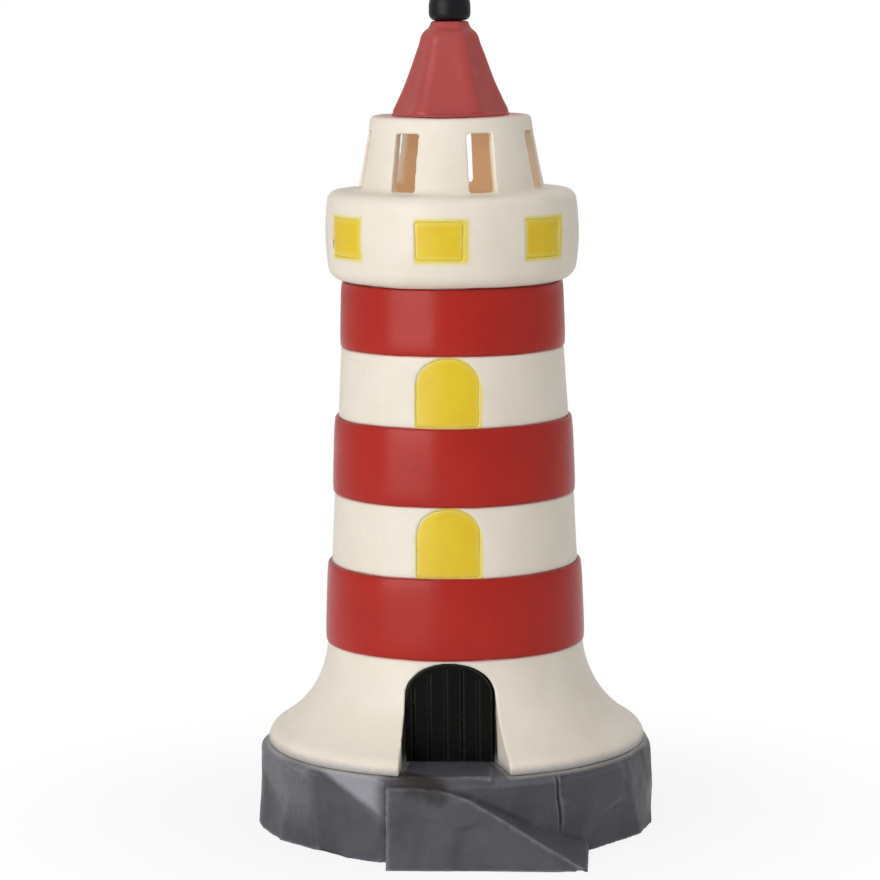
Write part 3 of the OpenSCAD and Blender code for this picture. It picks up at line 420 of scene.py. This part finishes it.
def soft_skin(node, voxel_mm, rounds, swells=(), keep=1.0, grow_mm=0.0):
    """A soft-edged copy of a node, grown by grow_mm. swells are pairs of size and height in mm."""
    work = bmesh.new()
    work.from_mesh(frame["nodes"][node].data)
    bmesh.ops.remove_doubles(work, verts=work.verts, dist=1e-6)
    mesh = bpy.data.meshes.new(node + "_skin")
    work.to_mesh(mesh)
    work.free()
    piece = bpy.data.objects.new(node + "_skin", mesh)
    bpy.context.scene.collection.objects.link(piece)
    remesh = piece.modifiers.new("cubes", "REMESH")
    remesh.mode = "VOXEL"
    remesh.voxel_size = voxel_mm * MM * 1
    smooth = piece.modifiers.new("rounding", "SMOOTH")
    smooth.factor = 0.5
    smooth.iterations = rounds
    made = baked(piece)
    points, normals = vertex_rows(made), vertex_rows(made, "normal")
    points = points + normals * grow_mm * MM
    for size, height in swells:
        push = np.array([noise.noise(Vector(p) * per_mm(size)) for p in points])
        points = points + normals * (push * height * MM)[:, None]
    made.vertices.foreach_set("co", points.ravel())
    if keep < 1:
        fewer = piece.modifiers.new("fewer_faces", "DECIMATE")
        fewer.ratio = keep
        made = baked(piece)
    made.polygons.foreach_set("use_smooth", [True] * len(made.polygons))
    made.materials.clear()
    made.materials.append(FINISHES[node])
    print(node, "skin:", len(made.polygons), "faces")
    return stand_in(piece, node)

# %% Give each cast piece its skin
rock = soft_skin("rock_plinth", 0.7, 4, [(4, 0.12)])
tower = soft_skin("tower_shell", 0.55, 5, [(30, 0.3), (9, 0.06)], keep=0.3)
gallery = soft_skin("gallery_lantern", 0.5, 6, [(25, 0.5), (7, 0.08)], keep=0.35)
roof = soft_skin("roof", 0.5, 9, [(16, 0.25), (5, 0.06)], keep=0.6)
soft_skin("door", 0.3, 1, [(8, 0.1), (2.5, 0.08)])
panes = [soft_skin(node, 0.35, 4, [(7, 0.12)], grow_mm=0.4)
         for node in ("window_lower", "window_upper", "gallery_panes")]
soft_skin("knob", 0.4, 4, [(7, 0.15)])

# %% [markdown]
# The cast roof is softer than its drawing. Its disc shrank against the deck, and the collar
# under the ball is hardly there, because the shoulder swells up to it. Both are changes of
# radius, one by the radius itself and one by the height.

# %% Draw in the roof's disc and fill its shoulder
DISC_R = 20.8 * MM
SHOULDER_MM = [272, 285, 290, 292.5, 294]       # heights, and how far the roof swells there
SWELL_MM = [0, 1.1, 2.0, 1.0, 0.5]
points = vertex_rows(roof.data)
radius = np.hypot(points[:, 0], points[:, 1])
drawn_in = (DISC_R + 0.15 * (radius - DISC_R)) / np.maximum(radius, DISC_R)
points[:, :2] *= np.minimum(1, drawn_in)[:, None]
swell = np.interp(points[:, 2] / MM, SHOULDER_MM, SWELL_MM)
points[:, :2] *= (1 + swell * MM / np.maximum(radius, 3 * MM))[:, None]
roof.data.vertices.foreach_set("co", points.ravel())
print("roof disc radius in mm:", round(float(np.hypot(points[:, 0], points[:, 1]).max()) / MM, 1))

# %% [markdown]
# ## The hewn rock
# The plinth stands for rock that was dressed with a chisel: large flat facets, each at its
# own slant, with a few cracks down from the top. A modeller planes them with a knife, one by
# one. Here each facet is a plane over the plinth's side, with a slant drawn by a seeded
# generator, and near a border the two planes are blended, so that no step shows. The outer
# side moves only level with the table, and only the worn upper rim sinks, so the plinth
# stands as flat as before.

# %% Plane the facets and cut the cracks
FACET_ROWS_MM = (8, 23)  # heights of the two rows of facets
CRACK_HALF_MM = 0.55     # half the width of a crack
RIM_WEAR_MM = 2.6        # how far the outer edge of the top is worn down


def hew(piece, radius_mm, facet_mm, slant, cracks, crack_mm, seed):
    """Gives a round side flat facets, each leaning by a slope of up to slant.

    A crack is a direction in degrees and the height of its foot, and crack_mm its depth.
    """
    points, normals = vertex_rows(piece.data), vertex_rows(piece.data, "normal")
    radius = np.hypot(points[:, 0], points[:, 1]) / MM
    turn = np.arctan2(points[:, 1], points[:, 0])
    out = points[:, :2] / (radius * MM)[:, None]
    facing = np.clip((normals[:, :2] * out).sum(1) * 1.6 - 0.3, 0, 1) * (radius > 0.75 * radius_mm)
    along, up = turn * radius_mm, points[:, 2] / MM
    chance = np.random.default_rng(seed)
    half_round = math.pi * radius_mm
    count = round(2 * half_round / facet_mm)
    total, weight = np.zeros(len(points)), np.zeros(len(points))
    for row, middle in enumerate(FACET_ROWS_MM):
        for k in range(count):
            at = (k + 0.5 * row + chance.uniform(-0.25, 0.25)) * facet_mm - half_round
            level = middle + chance.uniform(-3, 3)
            lean = chance.uniform(-slant, slant, 2)
            side = (along - at + half_round) % (2 * half_round) - half_round
            near = np.exp(-((side / facet_mm) ** 2 + ((up - level) / 16) ** 2) * 14) + 1e-9
            total += near * (lean[0] * side + lean[1] * (up - level))
            weight += near
    push = total / weight
    for direction, reach in cracks:
        wander = 0.4 * np.sin(up / 6 + direction) + 0.15 * np.sin(up / 1.9)
        side = (turn - math.radians(direction)) * radius_mm - wander
        push -= crack_mm * np.exp(-(side / CRACK_HALF_MM) ** 2) * np.clip((up - reach) / 6, 0, 1)
    points[:, :2] += out * (push * facing * MM)[:, None]
    worn = np.clip((radius - radius_mm + 3.5) / 4, 0, 1) ** 2 * np.clip((up - 24) / 6, 0, 1)
    points[:, 2] -= worn * RIM_WEAR_MM * MM
    piece.data.vertices.foreach_set("co", points.ravel())
    piece.data.update()
    return round(float(push.min()), 2), round(float(push.max()), 2)


print("facets move the side by mm:", hew(rock, radius_mm=72, facet_mm=26, slant=0.06, seed=5,
                                         cracks=[(-57, 8), (20, 12), (95, 8)], crack_mm=1.0))

# %% [markdown]
# ## Marks for the spray gun
# A spray reaches a little past its mask. Each shell therefore carries marks that say how
# near it lies to a piece of another colour. A tree of the neighbour's faces answers that
# for each point, and the material turns the answer into a feathered edge.

# %% Measure how near the colours lie
def mark_values(piece, mark, values):
    """Writes a mark from one number for each point."""
    layer = piece.data.attributes.new(mark, "FLOAT", "POINT")
    layer.data.foreach_set("value", np.clip(values, 0, 1))
    return int((values > 0).sum())


def surface(mesh):
    """The faces of a mesh, ready for rays and nearest points."""
    return BVHTree.FromPolygons([v.co for v in mesh.vertices], [p.vertices for p in mesh.polygons])


def mark_spray(piece, mark, nodes, reach_mm):
    """Writes a mark on each point: 1 on the given nodes, falling to 0 at the reach."""
    mesh = piece.data
    nearest = np.full(len(mesh.vertices), reach_mm * MM)
    for node in nodes:
        faces = surface(frame["nodes"][node].data)
        for i, vertex in enumerate(mesh.vertices):
            found = faces.find_nearest(vertex.co, nearest[i])
            if found[0] is not None:
                nearest[i] = found[3]
    return mark_values(piece, mark, 1 - nearest / (reach_mm * MM))


RED_BANDS = ["band_lower", "band_middle", "band_upper"]
print("red spray:", mark_spray(tower, "red_spray", RED_BANDS, reach_mm=0.9),
      mark_spray(gallery, "red_spray", ["band_upper"], reach_mm=1.2))
print("roof spray:", mark_spray(gallery, "roof_spray", ["roof"], reach_mm=5))
print("rock spray:", mark_spray(tower, "rock_spray", ["rock_plinth"], reach_mm=4.0))
print("ivory spray:", mark_spray(rock, "ivory_spray", ["tower_shell"], reach_mm=2.2))

# %% [markdown]
# Not every mark is a plain distance. The left cheek of the doorway and a narrow strip of the
# right one are darkened with the door's black as painted shade. A cheek lies deeper than the
# wall's outer side at its height, so the shade starts where the skin is sunk below that side,
# and it ends at a limit before the door.

# %% Paint shade on the doorway's cheeks
LEFT_LIMIT_MM = 14       # how far before the door the black reaches on the left cheek


def wall_radius(node):
    """The widest radius of a node at each millimetre of height, never less than higher up."""
    points = vertex_rows(frame["nodes"][node].data)
    level, radius = np.round(points[:, 2] / MM), np.hypot(points[:, 0], points[:, 1])
    heights = np.unique(level)
    widest = np.array([radius[level == z].max() for z in heights])
    return heights * MM, np.maximum.accumulate(widest[::-1])[::-1]


points = vertex_rows(tower.data)
door_low, door_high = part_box("door")
beside = ((np.abs(points[:, 0]) < door_high.x + 8 * MM) & (points[:, 1] < door_high.y)
          & (points[:, 2] < door_high.z + 2 * MM))
sunk = (np.interp(points[:, 2], *wall_radius("tower_shell"))
        - np.hypot(points[:, 0], points[:, 1])) / MM
before_door = (door_low.y - points[:, 1]) / MM
right_limit = np.interp(points[:, 2] / MM, [30, 60], [5, 1.5])
limit = np.where(points[:, 0] > 0, right_limit, LEFT_LIMIT_MM)
# it starts 0.7 mm below the outer side, is full at 1.5 mm, and fades over 3 mm to its limit
black = np.clip((sunk - 0.7) / 0.8, 0, 1) * np.clip((limit - before_door) / 3, 0, 1)
print("door cheeks:", mark_values(tower, "doorway_shade", beside * black))

# %% [markdown]
# On the rock the door's black is laid as painted shade: in front of the doorway and along
# the left side of the step. Each line has a strength, which falls by 1 within its width. And
# a paler grey is laid as a painted highlight on a few slanting zones only, where the facets
# would catch the light, and only where the side faces outwards.

# %% Painted shade and highlight on the rock
def from_line(points, start, end):
    """The distance in mm of each point from a straight line between two places in mm."""
    start, end = np.array(start) * MM, np.array(end) * MM
    share = np.clip((points - start) @ (end - start) / ((end - start) @ (end - start)), 0, 1)
    return np.linalg.norm(points - start - share[:, None] * (end - start), axis=1) / MM


def outward_share(piece):
    """The points, and how far each faces away from the axis: 1 on the wall, 0 on a cheek."""
    points, normals = vertex_rows(piece.data), vertex_rows(piece.data, "normal")
    return points, (normals[:, :2] * points[:, :2]).sum(1) / np.hypot(points[:, 0], points[:, 1])


# painted shade in the door's black, as lines on the rock
# start, end, strength, width
DOORSTEP_SHADES = [((-18, -64, 30.5), (-3, -74, 30), 1.2, 5.5), ((-12, -76, 28), (-2, -77, 25), 1.1, 4.5),
          ((-25.2, -70, 31), (-25.4, -73, 19), 1.0, 1.3)]
# painted highlight: paler grey zones where the facets would catch the light
# first and last direction in degrees, lean in degrees for each mm below 30 mm, strength
PAINTED_HIGHLIGHT = [(-133, -107, 1.7, 1.0), (-185, -130, 1.7, 0.32), (8, 30, -1.1, 0.9),
             (52, 78, 1.3, 0.7), (112, 140, -1.5, 0.8)]
points, facing = outward_share(rock)
turn = np.degrees(np.arctan2(points[:, 1], points[:, 0]))
up = points[:, 2] / MM
doorstep_shade = np.max([strength - from_line(points, start, end) / width
                for start, end, strength, width in DOORSTEP_SHADES], axis=0)
print("smear:", mark_values(rock, "doorway_shade", doorstep_shade))
# the painted highlight, only where the side faces outwards
highlight_share = np.zeros(len(points))
for first, last, lean, strength in PAINTED_HIGHLIGHT:
    side = (turn - (first + last) / 2 + 180) % 360 - 180
    start = side + (last - first) / 2 - (30 - up) * lean
    stop = (last - first) / 2 - side
    highlight_share = np.maximum(highlight_share, strength * np.clip(np.minimum(start, stop) / 6, 0, 1)
                         * np.clip(up / 18, 0, 1))
print("dry brush:", mark_values(rock, "painted_highlight", highlight_share * np.clip(facing * 2 - 0.6, 0, 1)))

# %% [markdown]
# On the panes it is the other way round: the yellow lies thick in the middle and thins
# towards the rim. The rim is where the skin turns away from the tower's side.

# %% Measure how far each pane's rim lies
def mark_rim(piece, reach_mm):
    """Writes a mark on each point: 1 on the pane's rim, falling to 0 at the reach."""
    points, facing = outward_share(piece)
    rim = np.flatnonzero(np.abs(facing) < 0.75)
    tree = KDTree(len(rim))
    for i in rim:
        tree.insert(points[i], int(i))
    tree.balance()
    away = np.array([tree.find(p)[2] for p in points])
    mark_values(piece, "rim", 1 - away / (reach_mm * MM))
    return len(rim)


print("rim points:", [mark_rim(piece, reach_mm=2.4) for piece in panes])

# %% [markdown]
# The mask for the yellow was cut a little larger than the recess and never lay quite right,
# so the spray feathers out past one side and leaves a bare strip on the other. The mark is
# the distance from the mask's outline, measured along the tower's side, on shell and pane
# alike.

# %% Spray the panes through a mask
PANE_GAP = math.radians(8)      # the panes of a node lie farther apart than this


def mask_openings(node, arch):
    """For each pane: its direction, half its width, its lowest and highest point, and arch."""
    points = vertex_rows(frame["nodes"][node].data)
    turn = np.arctan2(points[:, 1], points[:, 0])
    order = np.argsort(turn)
    groups = np.split(order, np.flatnonzero(np.diff(turn[order]) > PANE_GAP) + 1)
    masks = []
    for group in groups:
        reach = np.hypot(points[group, 0], points[group, 1]).mean() / MM
        first, last = turn[group].min(), turn[group].max()
        masks.append(((first + last) / 2, (last - first) / 2 * reach, points[group, 2].min() / MM,
                      points[group, 2].max() / MM, arch))
    return masks


def spray_panes(piece, mark, masks, shift_mm, feather_mm, bare=False):
    """Marks the yellow that went through the masks, or with bare what it missed."""
    points, facing = outward_share(piece)
    turn, up = np.arctan2(points[:, 1], points[:, 0]), points[:, 2] / MM
    radius = np.hypot(points[:, 0], points[:, 1]) / MM
    painted = np.zeros(len(points))
    for direction, half, low, high, arch in masks:
        side = np.abs(((turn - direction + math.pi) % (2 * math.pi) - math.pi) * radius - shift_mm)
        spring = high - half if arch else high
        away = np.maximum(side - half, low - up)
        crown = np.hypot(side, up - spring) - half if arch else up - high
        away = np.where(up > spring, crown if arch else np.maximum(away, crown), away)
        painted = np.maximum(painted, np.clip(1 - away / feather_mm, 0, 1))
    return mark_values(piece, mark, 1 - painted if bare else painted * (facing > 0.2))


ARCH_SHIFT_MM, SQUARE_SHIFT_MM = 0.3, 0.9       # how far the masks lay to the right
arches = mask_openings("window_lower", True) + mask_openings("window_upper", True)
squares = mask_openings("gallery_panes", False)
print("panes:", [round(math.degrees(m[0])) for m in squares])
print("yellow on the shells:",
      spray_panes(tower, "yellow_spray", arches, ARCH_SHIFT_MM, feather_mm=1.5),
      spray_panes(gallery, "yellow_spray", squares, SQUARE_SHIFT_MM, feather_mm=2.4))
fitted = [(arches, ARCH_SHIFT_MM), (arches, ARCH_SHIFT_MM), (squares, SQUARE_SHIFT_MM)]
print("bare on the panes:", [spray_panes(piece, "bare", masks, shift, feather_mm=1.2, bare=True)
                             for piece, (masks, shift) in zip(panes, fitted)])

# %% [markdown]
# ## The unpainted inside
# Nobody paints the inside of a casting, so there the vinyl keeps its own warm tan, as the
# lantern's openings show. A face lies inside if a straight line outwards from it, level
# and away from the axis, meets the wall again.

# %% Give the inside its own finish
def looks_inside(wall, place, normal):
    """Whether a spot of the skin looks into the hollow, at the axis, up or down."""
    spot = place + normal * 0.6 * MM        # just clear of the skin
    outward = Vector((spot.x, spot.y, 0)).normalized()
    if normal.dot(outward) > -0.35 and abs(normal.z) < 0.8:
        return False
    return wall.ray_cast(spot, outward, 0.08)[0] is not None


def bare_inside(piece):
    """Gives the raw vinyl to the faces that look into the hollow."""
    wall = surface(piece.data)
    piece.data.materials.append(raw_vinyl)
    inner = [looks_inside(wall, face.center, face.normal) for face in piece.data.polygons]
    piece.data.polygons.foreach_set("material_index", inner)
    return sum(inner)


print("bare faces:", bare_inside(rock), bare_inside(tower))

# %% [markdown]
# The lantern's inside shows through the openings, so its border must run true along their
# cheeks. There the mark is the depth in the wall, which is straight between any two points.

# %% Mark the lantern's inside
def mark_lantern(piece, foot_mm, top_mm):
    """Marks the inside from the depth in the wall above the foot, and by rays below it."""
    shell = frame["nodes"]["gallery_lantern"].data
    at, facing = vertex_rows(shell), vertex_rows(shell, "normal")
    radius = np.hypot(at[:, 0], at[:, 1])
    share = (facing[:, :2] * at[:, :2]).sum(1) / radius
    room = (at[:, 2] > foot_mm * MM) & (at[:, 2] < top_mm * MM)
    inner, outer = [np.polyfit(at[side, 2], radius[side], 1)
                    for side in (room & (share < -0.6), room & (share > 0.6))]
    points, normals = vertex_rows(piece.data), vertex_rows(piece.data, "normal")
    radius = np.hypot(points[:, 0], points[:, 1])
    start, stop = np.polyval(outer, points[:, 2]), np.polyval(inner, points[:, 2])
    deep = (start - radius) / (start - stop)
    # bare from the middle of the wall's thickness on, and ivory again above the room
    values = np.clip((deep - 0.5) / 0.35, 0, 1) * np.clip((top_mm - points[:, 2] / MM) / 0.6, 0, 1)
    wall = surface(piece.data)
    for i in np.flatnonzero(points[:, 2] < foot_mm * MM):
        values[i] = looks_inside(wall, Vector(points[i]), Vector(normals[i]))
    return mark_values(piece, "inside", values), round(float((start - stop).mean() / MM), 2)


print("lantern's inside, wall mm:", mark_lantern(gallery, foot_mm=233.0, top_mm=258.6))

# %% [markdown]
# ## The red bands
# Each band is a raised ring that the painter filled in with red enamel by hand, up to a
# moulded step. The step wanders a little, and the ring swells between its edges. A ring is
# its cross-section carried round the axis, and the wandering is noise that depends on the
# direction alone, so the rounded edge stays round. The cross-section is read from the node.

# %% Turn a cross-section round the axis
def ring_mesh(name, rows, turns):
    """A closed ring: rows[i][j] is point i of the cross-section in direction j."""
    points = [p for row in rows for p in row]
    count = len(rows)
    faces = [(i * turns + j, i * turns + (j + 1) % turns, (i + 1) % count * turns + (j + 1) % turns,
              (i + 1) % count * turns + j) for i in range(count) for j in range(turns)]
    mesh = bpy.data.meshes.new(name)
    mesh.from_pydata(points, [], faces)
    mesh.polygons.foreach_set("use_smooth", [True] * len(faces))
    mesh.update()
    piece = bpy.data.objects.new(name, mesh)
    bpy.context.scene.collection.objects.link(piece)
    return piece

# %% Paint the bands by hand
BAND_EDGE_MM = 0.75      # radius of a band's rounded edges
BAND_PROUD_MM = 0.5      # how far its upper edge stands out
BAND_CROWN_MM = 0.4      # how far its middle swells


def red_band(node, seed, turns=300):
    """A hand-painted band: the node's own section, with rounded edges that wander."""
    mesh = frame["nodes"][node].data
    points, normals = vertex_rows(mesh), vertex_rows(mesh, "normal")
    radius, height = np.hypot(points[:, 0], points[:, 1]), points[:, 2]
    low, high, inner = height.min(), height.max(), radius.min()
    outside = (normals[:, :2] * points[:, :2]).sum(1) > 0.3 * radius
    levels = np.unique(np.round(height[outside], 6))
    foot_r, head_r = [radius[outside & (np.abs(height - z) < 2e-6)].max()
                      for z in (levels[0], levels[-1])]
    edge = BAND_EDGE_MM * MM

    def face(z):
        """The band's radius: almost straight, proud of the wall at the top, nearly flush below."""
        share = (z - low) / (high - low)
        crown = 1 - abs(2 * share - 1) ** 6
        proud = (BAND_PROUD_MM * share + BAND_CROWN_MM * crown) * MM
        return np.interp(share, [0, 1], [foot_r, head_r]) + proud

    section = [(inner, low)]
    section += [(face(low + edge) - edge * (1 - math.sin(a)), low + edge * (1 - math.cos(a)))
                for a in np.linspace(0, math.pi / 2, 5)]
    section += [(face(z), z) for z in np.linspace(low + edge, high - edge, 24)[1:-1]]
    section += [(face(high - edge) - edge * (1 - math.cos(a)), high - edge * (1 - math.sin(a)))
                for a in np.linspace(0, math.pi / 2, 5)]
    section += [(inner, high)]
    rows = []
    for r, z in section:
        row = []
        for j in range(turns):
            turn = 2 * math.pi * j / turns
            side = Vector((math.cos(turn), math.sin(turn), 0))
            share = (z - low) / (high - low)
            wander = [0.45 * noise.noise(side * 1.6 + Vector((0, 0, seed + k)))
                      + 0.16 * noise.noise(side * 7 + Vector((0, 0, seed + k))) for k in (0, 9)]
            swell = 0.14 * noise.noise(Vector((side.x * 2.2, side.y * 2.2, z * per_mm(60) + seed)))
            lift = (wander[0] - 0.15) * (1 - share) + (wander[1] + 0.15) * share
            reach = r + (swell * MM if r > inner + 0.5 * MM else 0)
            row.append((side.x * reach, side.y * reach, z + lift * MM))
        rows.append(row)
    piece = ring_mesh(node + "_ring", rows[::-1], turns)
    piece.data.materials.append(FINISHES[node])
    return stand_in(piece, node)


bands = [red_band("band_lower", 3.1), red_band("band_middle", 17.4), red_band("band_upper", 31.8)]
print("band faces:", [len(b.data.polygons) for b in bands])

# %% [markdown]
# ## The bulb's screw cap
# A bulb's cap is thin nickel-plated brass with a rolled thread. The model draws the thread as
# closed rings, because that is enough to test the fit. The real thread climbs, and a helix
# is as easy to turn as a ring: the radius follows the height less the pitch for each turn.

# %% Roll a real thread
THREAD_PITCH = 2.82 * MM
THREAD_DEPTH = 0.4 * MM
CAP_WALL = 0.35 * MM


def screw_cap(turns=96, steps=84):
    """The cap as a thin tube with a climbing thread that fades out at both ends."""
    low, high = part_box("bulb_cap")
    crest = high.x
    root = crest - THREAD_DEPTH
    ends = 1.4 * MM
    angles = [2 * math.pi * j / turns for j in range(turns)]
    rows = []
    for z in np.linspace(low.z, high.z, steps):
        fade = min(1.0, (z - low.z) / ends, (high.z - z) / ends)
        row = []
        for j, turn in enumerate(angles):
            phase = 2 * math.pi * ((z - low.z) / THREAD_PITCH - j / turns)
            r = root + THREAD_DEPTH * fade * (1 - math.cos(phase)) / 2
            row.append((r * math.cos(turn), r * math.sin(turn), z))
        rows.append(row)
    bore = root - CAP_WALL
    for z in (high.z, low.z):
        rows.append([(bore * math.cos(turn), bore * math.sin(turn), z) for turn in angles])
    piece = ring_mesh("bulb_cap_thread", rows[::-1], turns)
    piece.data.materials.append(cap_nickel)
    return stand_in(piece, "bulb_cap")


cap = screw_cap()
print("cap faces:", len(cap.data.polygons))

# %% [markdown]
# ## The stage
# A pale floor and a white surround, as in a catalogue. Near the light the floor is real
# paper that keeps the shadow, and farther out it fades into plain white so that no horizon
# shows. A reflection sees the same white, but only a share of it: all of it would lay a
# grey veil over the satin paint, which the photograph doesn't have.

# %% Floor and surround
FLOOR_HALF = 6.0
FLOOR_GLEAM = 0.18       # share of the white floor in a reflection
SKY_GLEAM = 0.45         # share of the white surround


def white_seen(tree, gleam):
    """The share of white: all for the camera and behind glass, gleam in a reflection."""
    path = add(tree, "ShaderNodeLightPath")
    seen = add(tree, "ShaderNodeMath",
               {0: path.outputs["Is Camera Ray"], 1: path.outputs["Is Transmission Ray"]},
               operation="MAXIMUM")
    return add(tree, "ShaderNodeMath",
               {0: path.outputs["Is Glossy Ray"], 1: gleam, 2: seen.outputs[0]},
               operation="MULTIPLY_ADD", use_clamp=True).outputs[0]


floor_mesh = bpy.data.meshes.new("floor")
floor_mesh.from_pydata([(-FLOOR_HALF, -FLOOR_HALF, 0), (FLOOR_HALF, -FLOOR_HALF, 0),
                        (FLOOR_HALF, FLOOR_HALF, 0), (-FLOOR_HALF, FLOOR_HALF, 0)],
                       [], [(0, 1, 2, 3)])
floor = bpy.data.objects.new("floor", floor_mesh)
floor.location.z = cad_low.z - 0.2 * MM         # just under the rest face
bpy.context.scene.collection.objects.link(floor)
paper, tree, shader, place = blank("white_paper")
shader.inputs["Base Color"].default_value = linear("#F6F6F6")
shader.inputs["Roughness"].default_value = 0.9
white = add(tree, "ShaderNodeEmission", {"Color": "#FFFFFF", "Strength": 1.0})
reach = add(tree, "ShaderNodeVectorMath", {0: place}, operation="LENGTH")
fade = add(tree, "ShaderNodeMapRange",
           {"Value": reach.outputs["Value"], "From Min": 0.08, "From Max": 0.22,
            "To Min": 0.85, "To Max": 1.0}, interpolation_type="SMOOTHSTEP")
share = add(tree, "ShaderNodeMath",
            {0: white_seen(tree, FLOOR_GLEAM), 1: fade.outputs["Result"]}, operation="MULTIPLY")
blend = add(tree, "ShaderNodeMixShader",
            {0: share.outputs[0], 1: shader.outputs[0], 2: white.outputs[0]})
tree.links.new(blend.outputs[0], tree.nodes["Material Output"].inputs["Surface"])
floor_mesh.materials.append(paper)

surround = bpy.data.worlds.new("surround")
bpy.context.scene.world = surround
surround.use_nodes = True
sky = surround.node_tree
strength = add(sky, "ShaderNodeMapRange",
               {"Value": white_seen(sky, SKY_GLEAM), "To Min": 0.25, "To Max": 1.0})
sky.nodes["Background"].inputs["Color"].default_value = linear("#FFFFFF")
sky.links.new(strength.outputs["Result"], sky.nodes["Background"].inputs["Strength"])
print("floor at mm:", round(floor.location.z / MM, 2))

# %% [markdown]
# ## The lamps
# One broad softbox stands to the left of the camera. Its reflection is the pale upright
# patch on the red bands, which ends just left of the middle, and the mirror rule gives the
# softbox's right edge from that. A weaker one fills the right, one lights the back of the
# tower, and one hangs above for the deck and the plinth's top. These three are kept out of
# reflections, because the photograph shows one patch only.

# %% Four softboxes
AIM = Vector((0, 0, 0.15))      # the middle of the tower


def softbox(name, turn, distance, height, width, tall, power, mirrored=True):
    """A lamp that faces the tower, turn degrees left of the door. Metres and watts."""
    data = bpy.data.lights.new(name, "AREA")
    data.shape = "RECTANGLE"
    data.size, data.size_y = width, tall
    data.energy = power
    lamp = bpy.data.objects.new(name, data)
    angle = math.radians(turn)
    lamp.location = (-distance * math.sin(angle), -distance * math.cos(angle), height)
    lamp.rotation_euler = (AIM - lamp.location).to_track_quat("-Z", "Y").to_euler()
    lamp.visible_glossy = mirrored
    bpy.context.scene.collection.objects.link(lamp)
    return lamp


lamps = [softbox("key_softbox", 39.5, 1.4, 0.5, 1.26, 1.2, 13.6),
         softbox("fill_softbox", -70, 1.6, 0.9, 0.8, 1.2, 4.8, mirrored=False),
         softbox("lit_backdrop", 180, 1.5, 0.6, 1.8, 1.6, 7, mirrored=False),
         softbox("top_softbox", -10, 0.5, 1.5, 1.2, 1.2, 4.5, mirrored=False)]
bpy.context.scene.view_settings.view_transform = "Standard"
print("lamps:", [lamp.name for lamp in lamps])
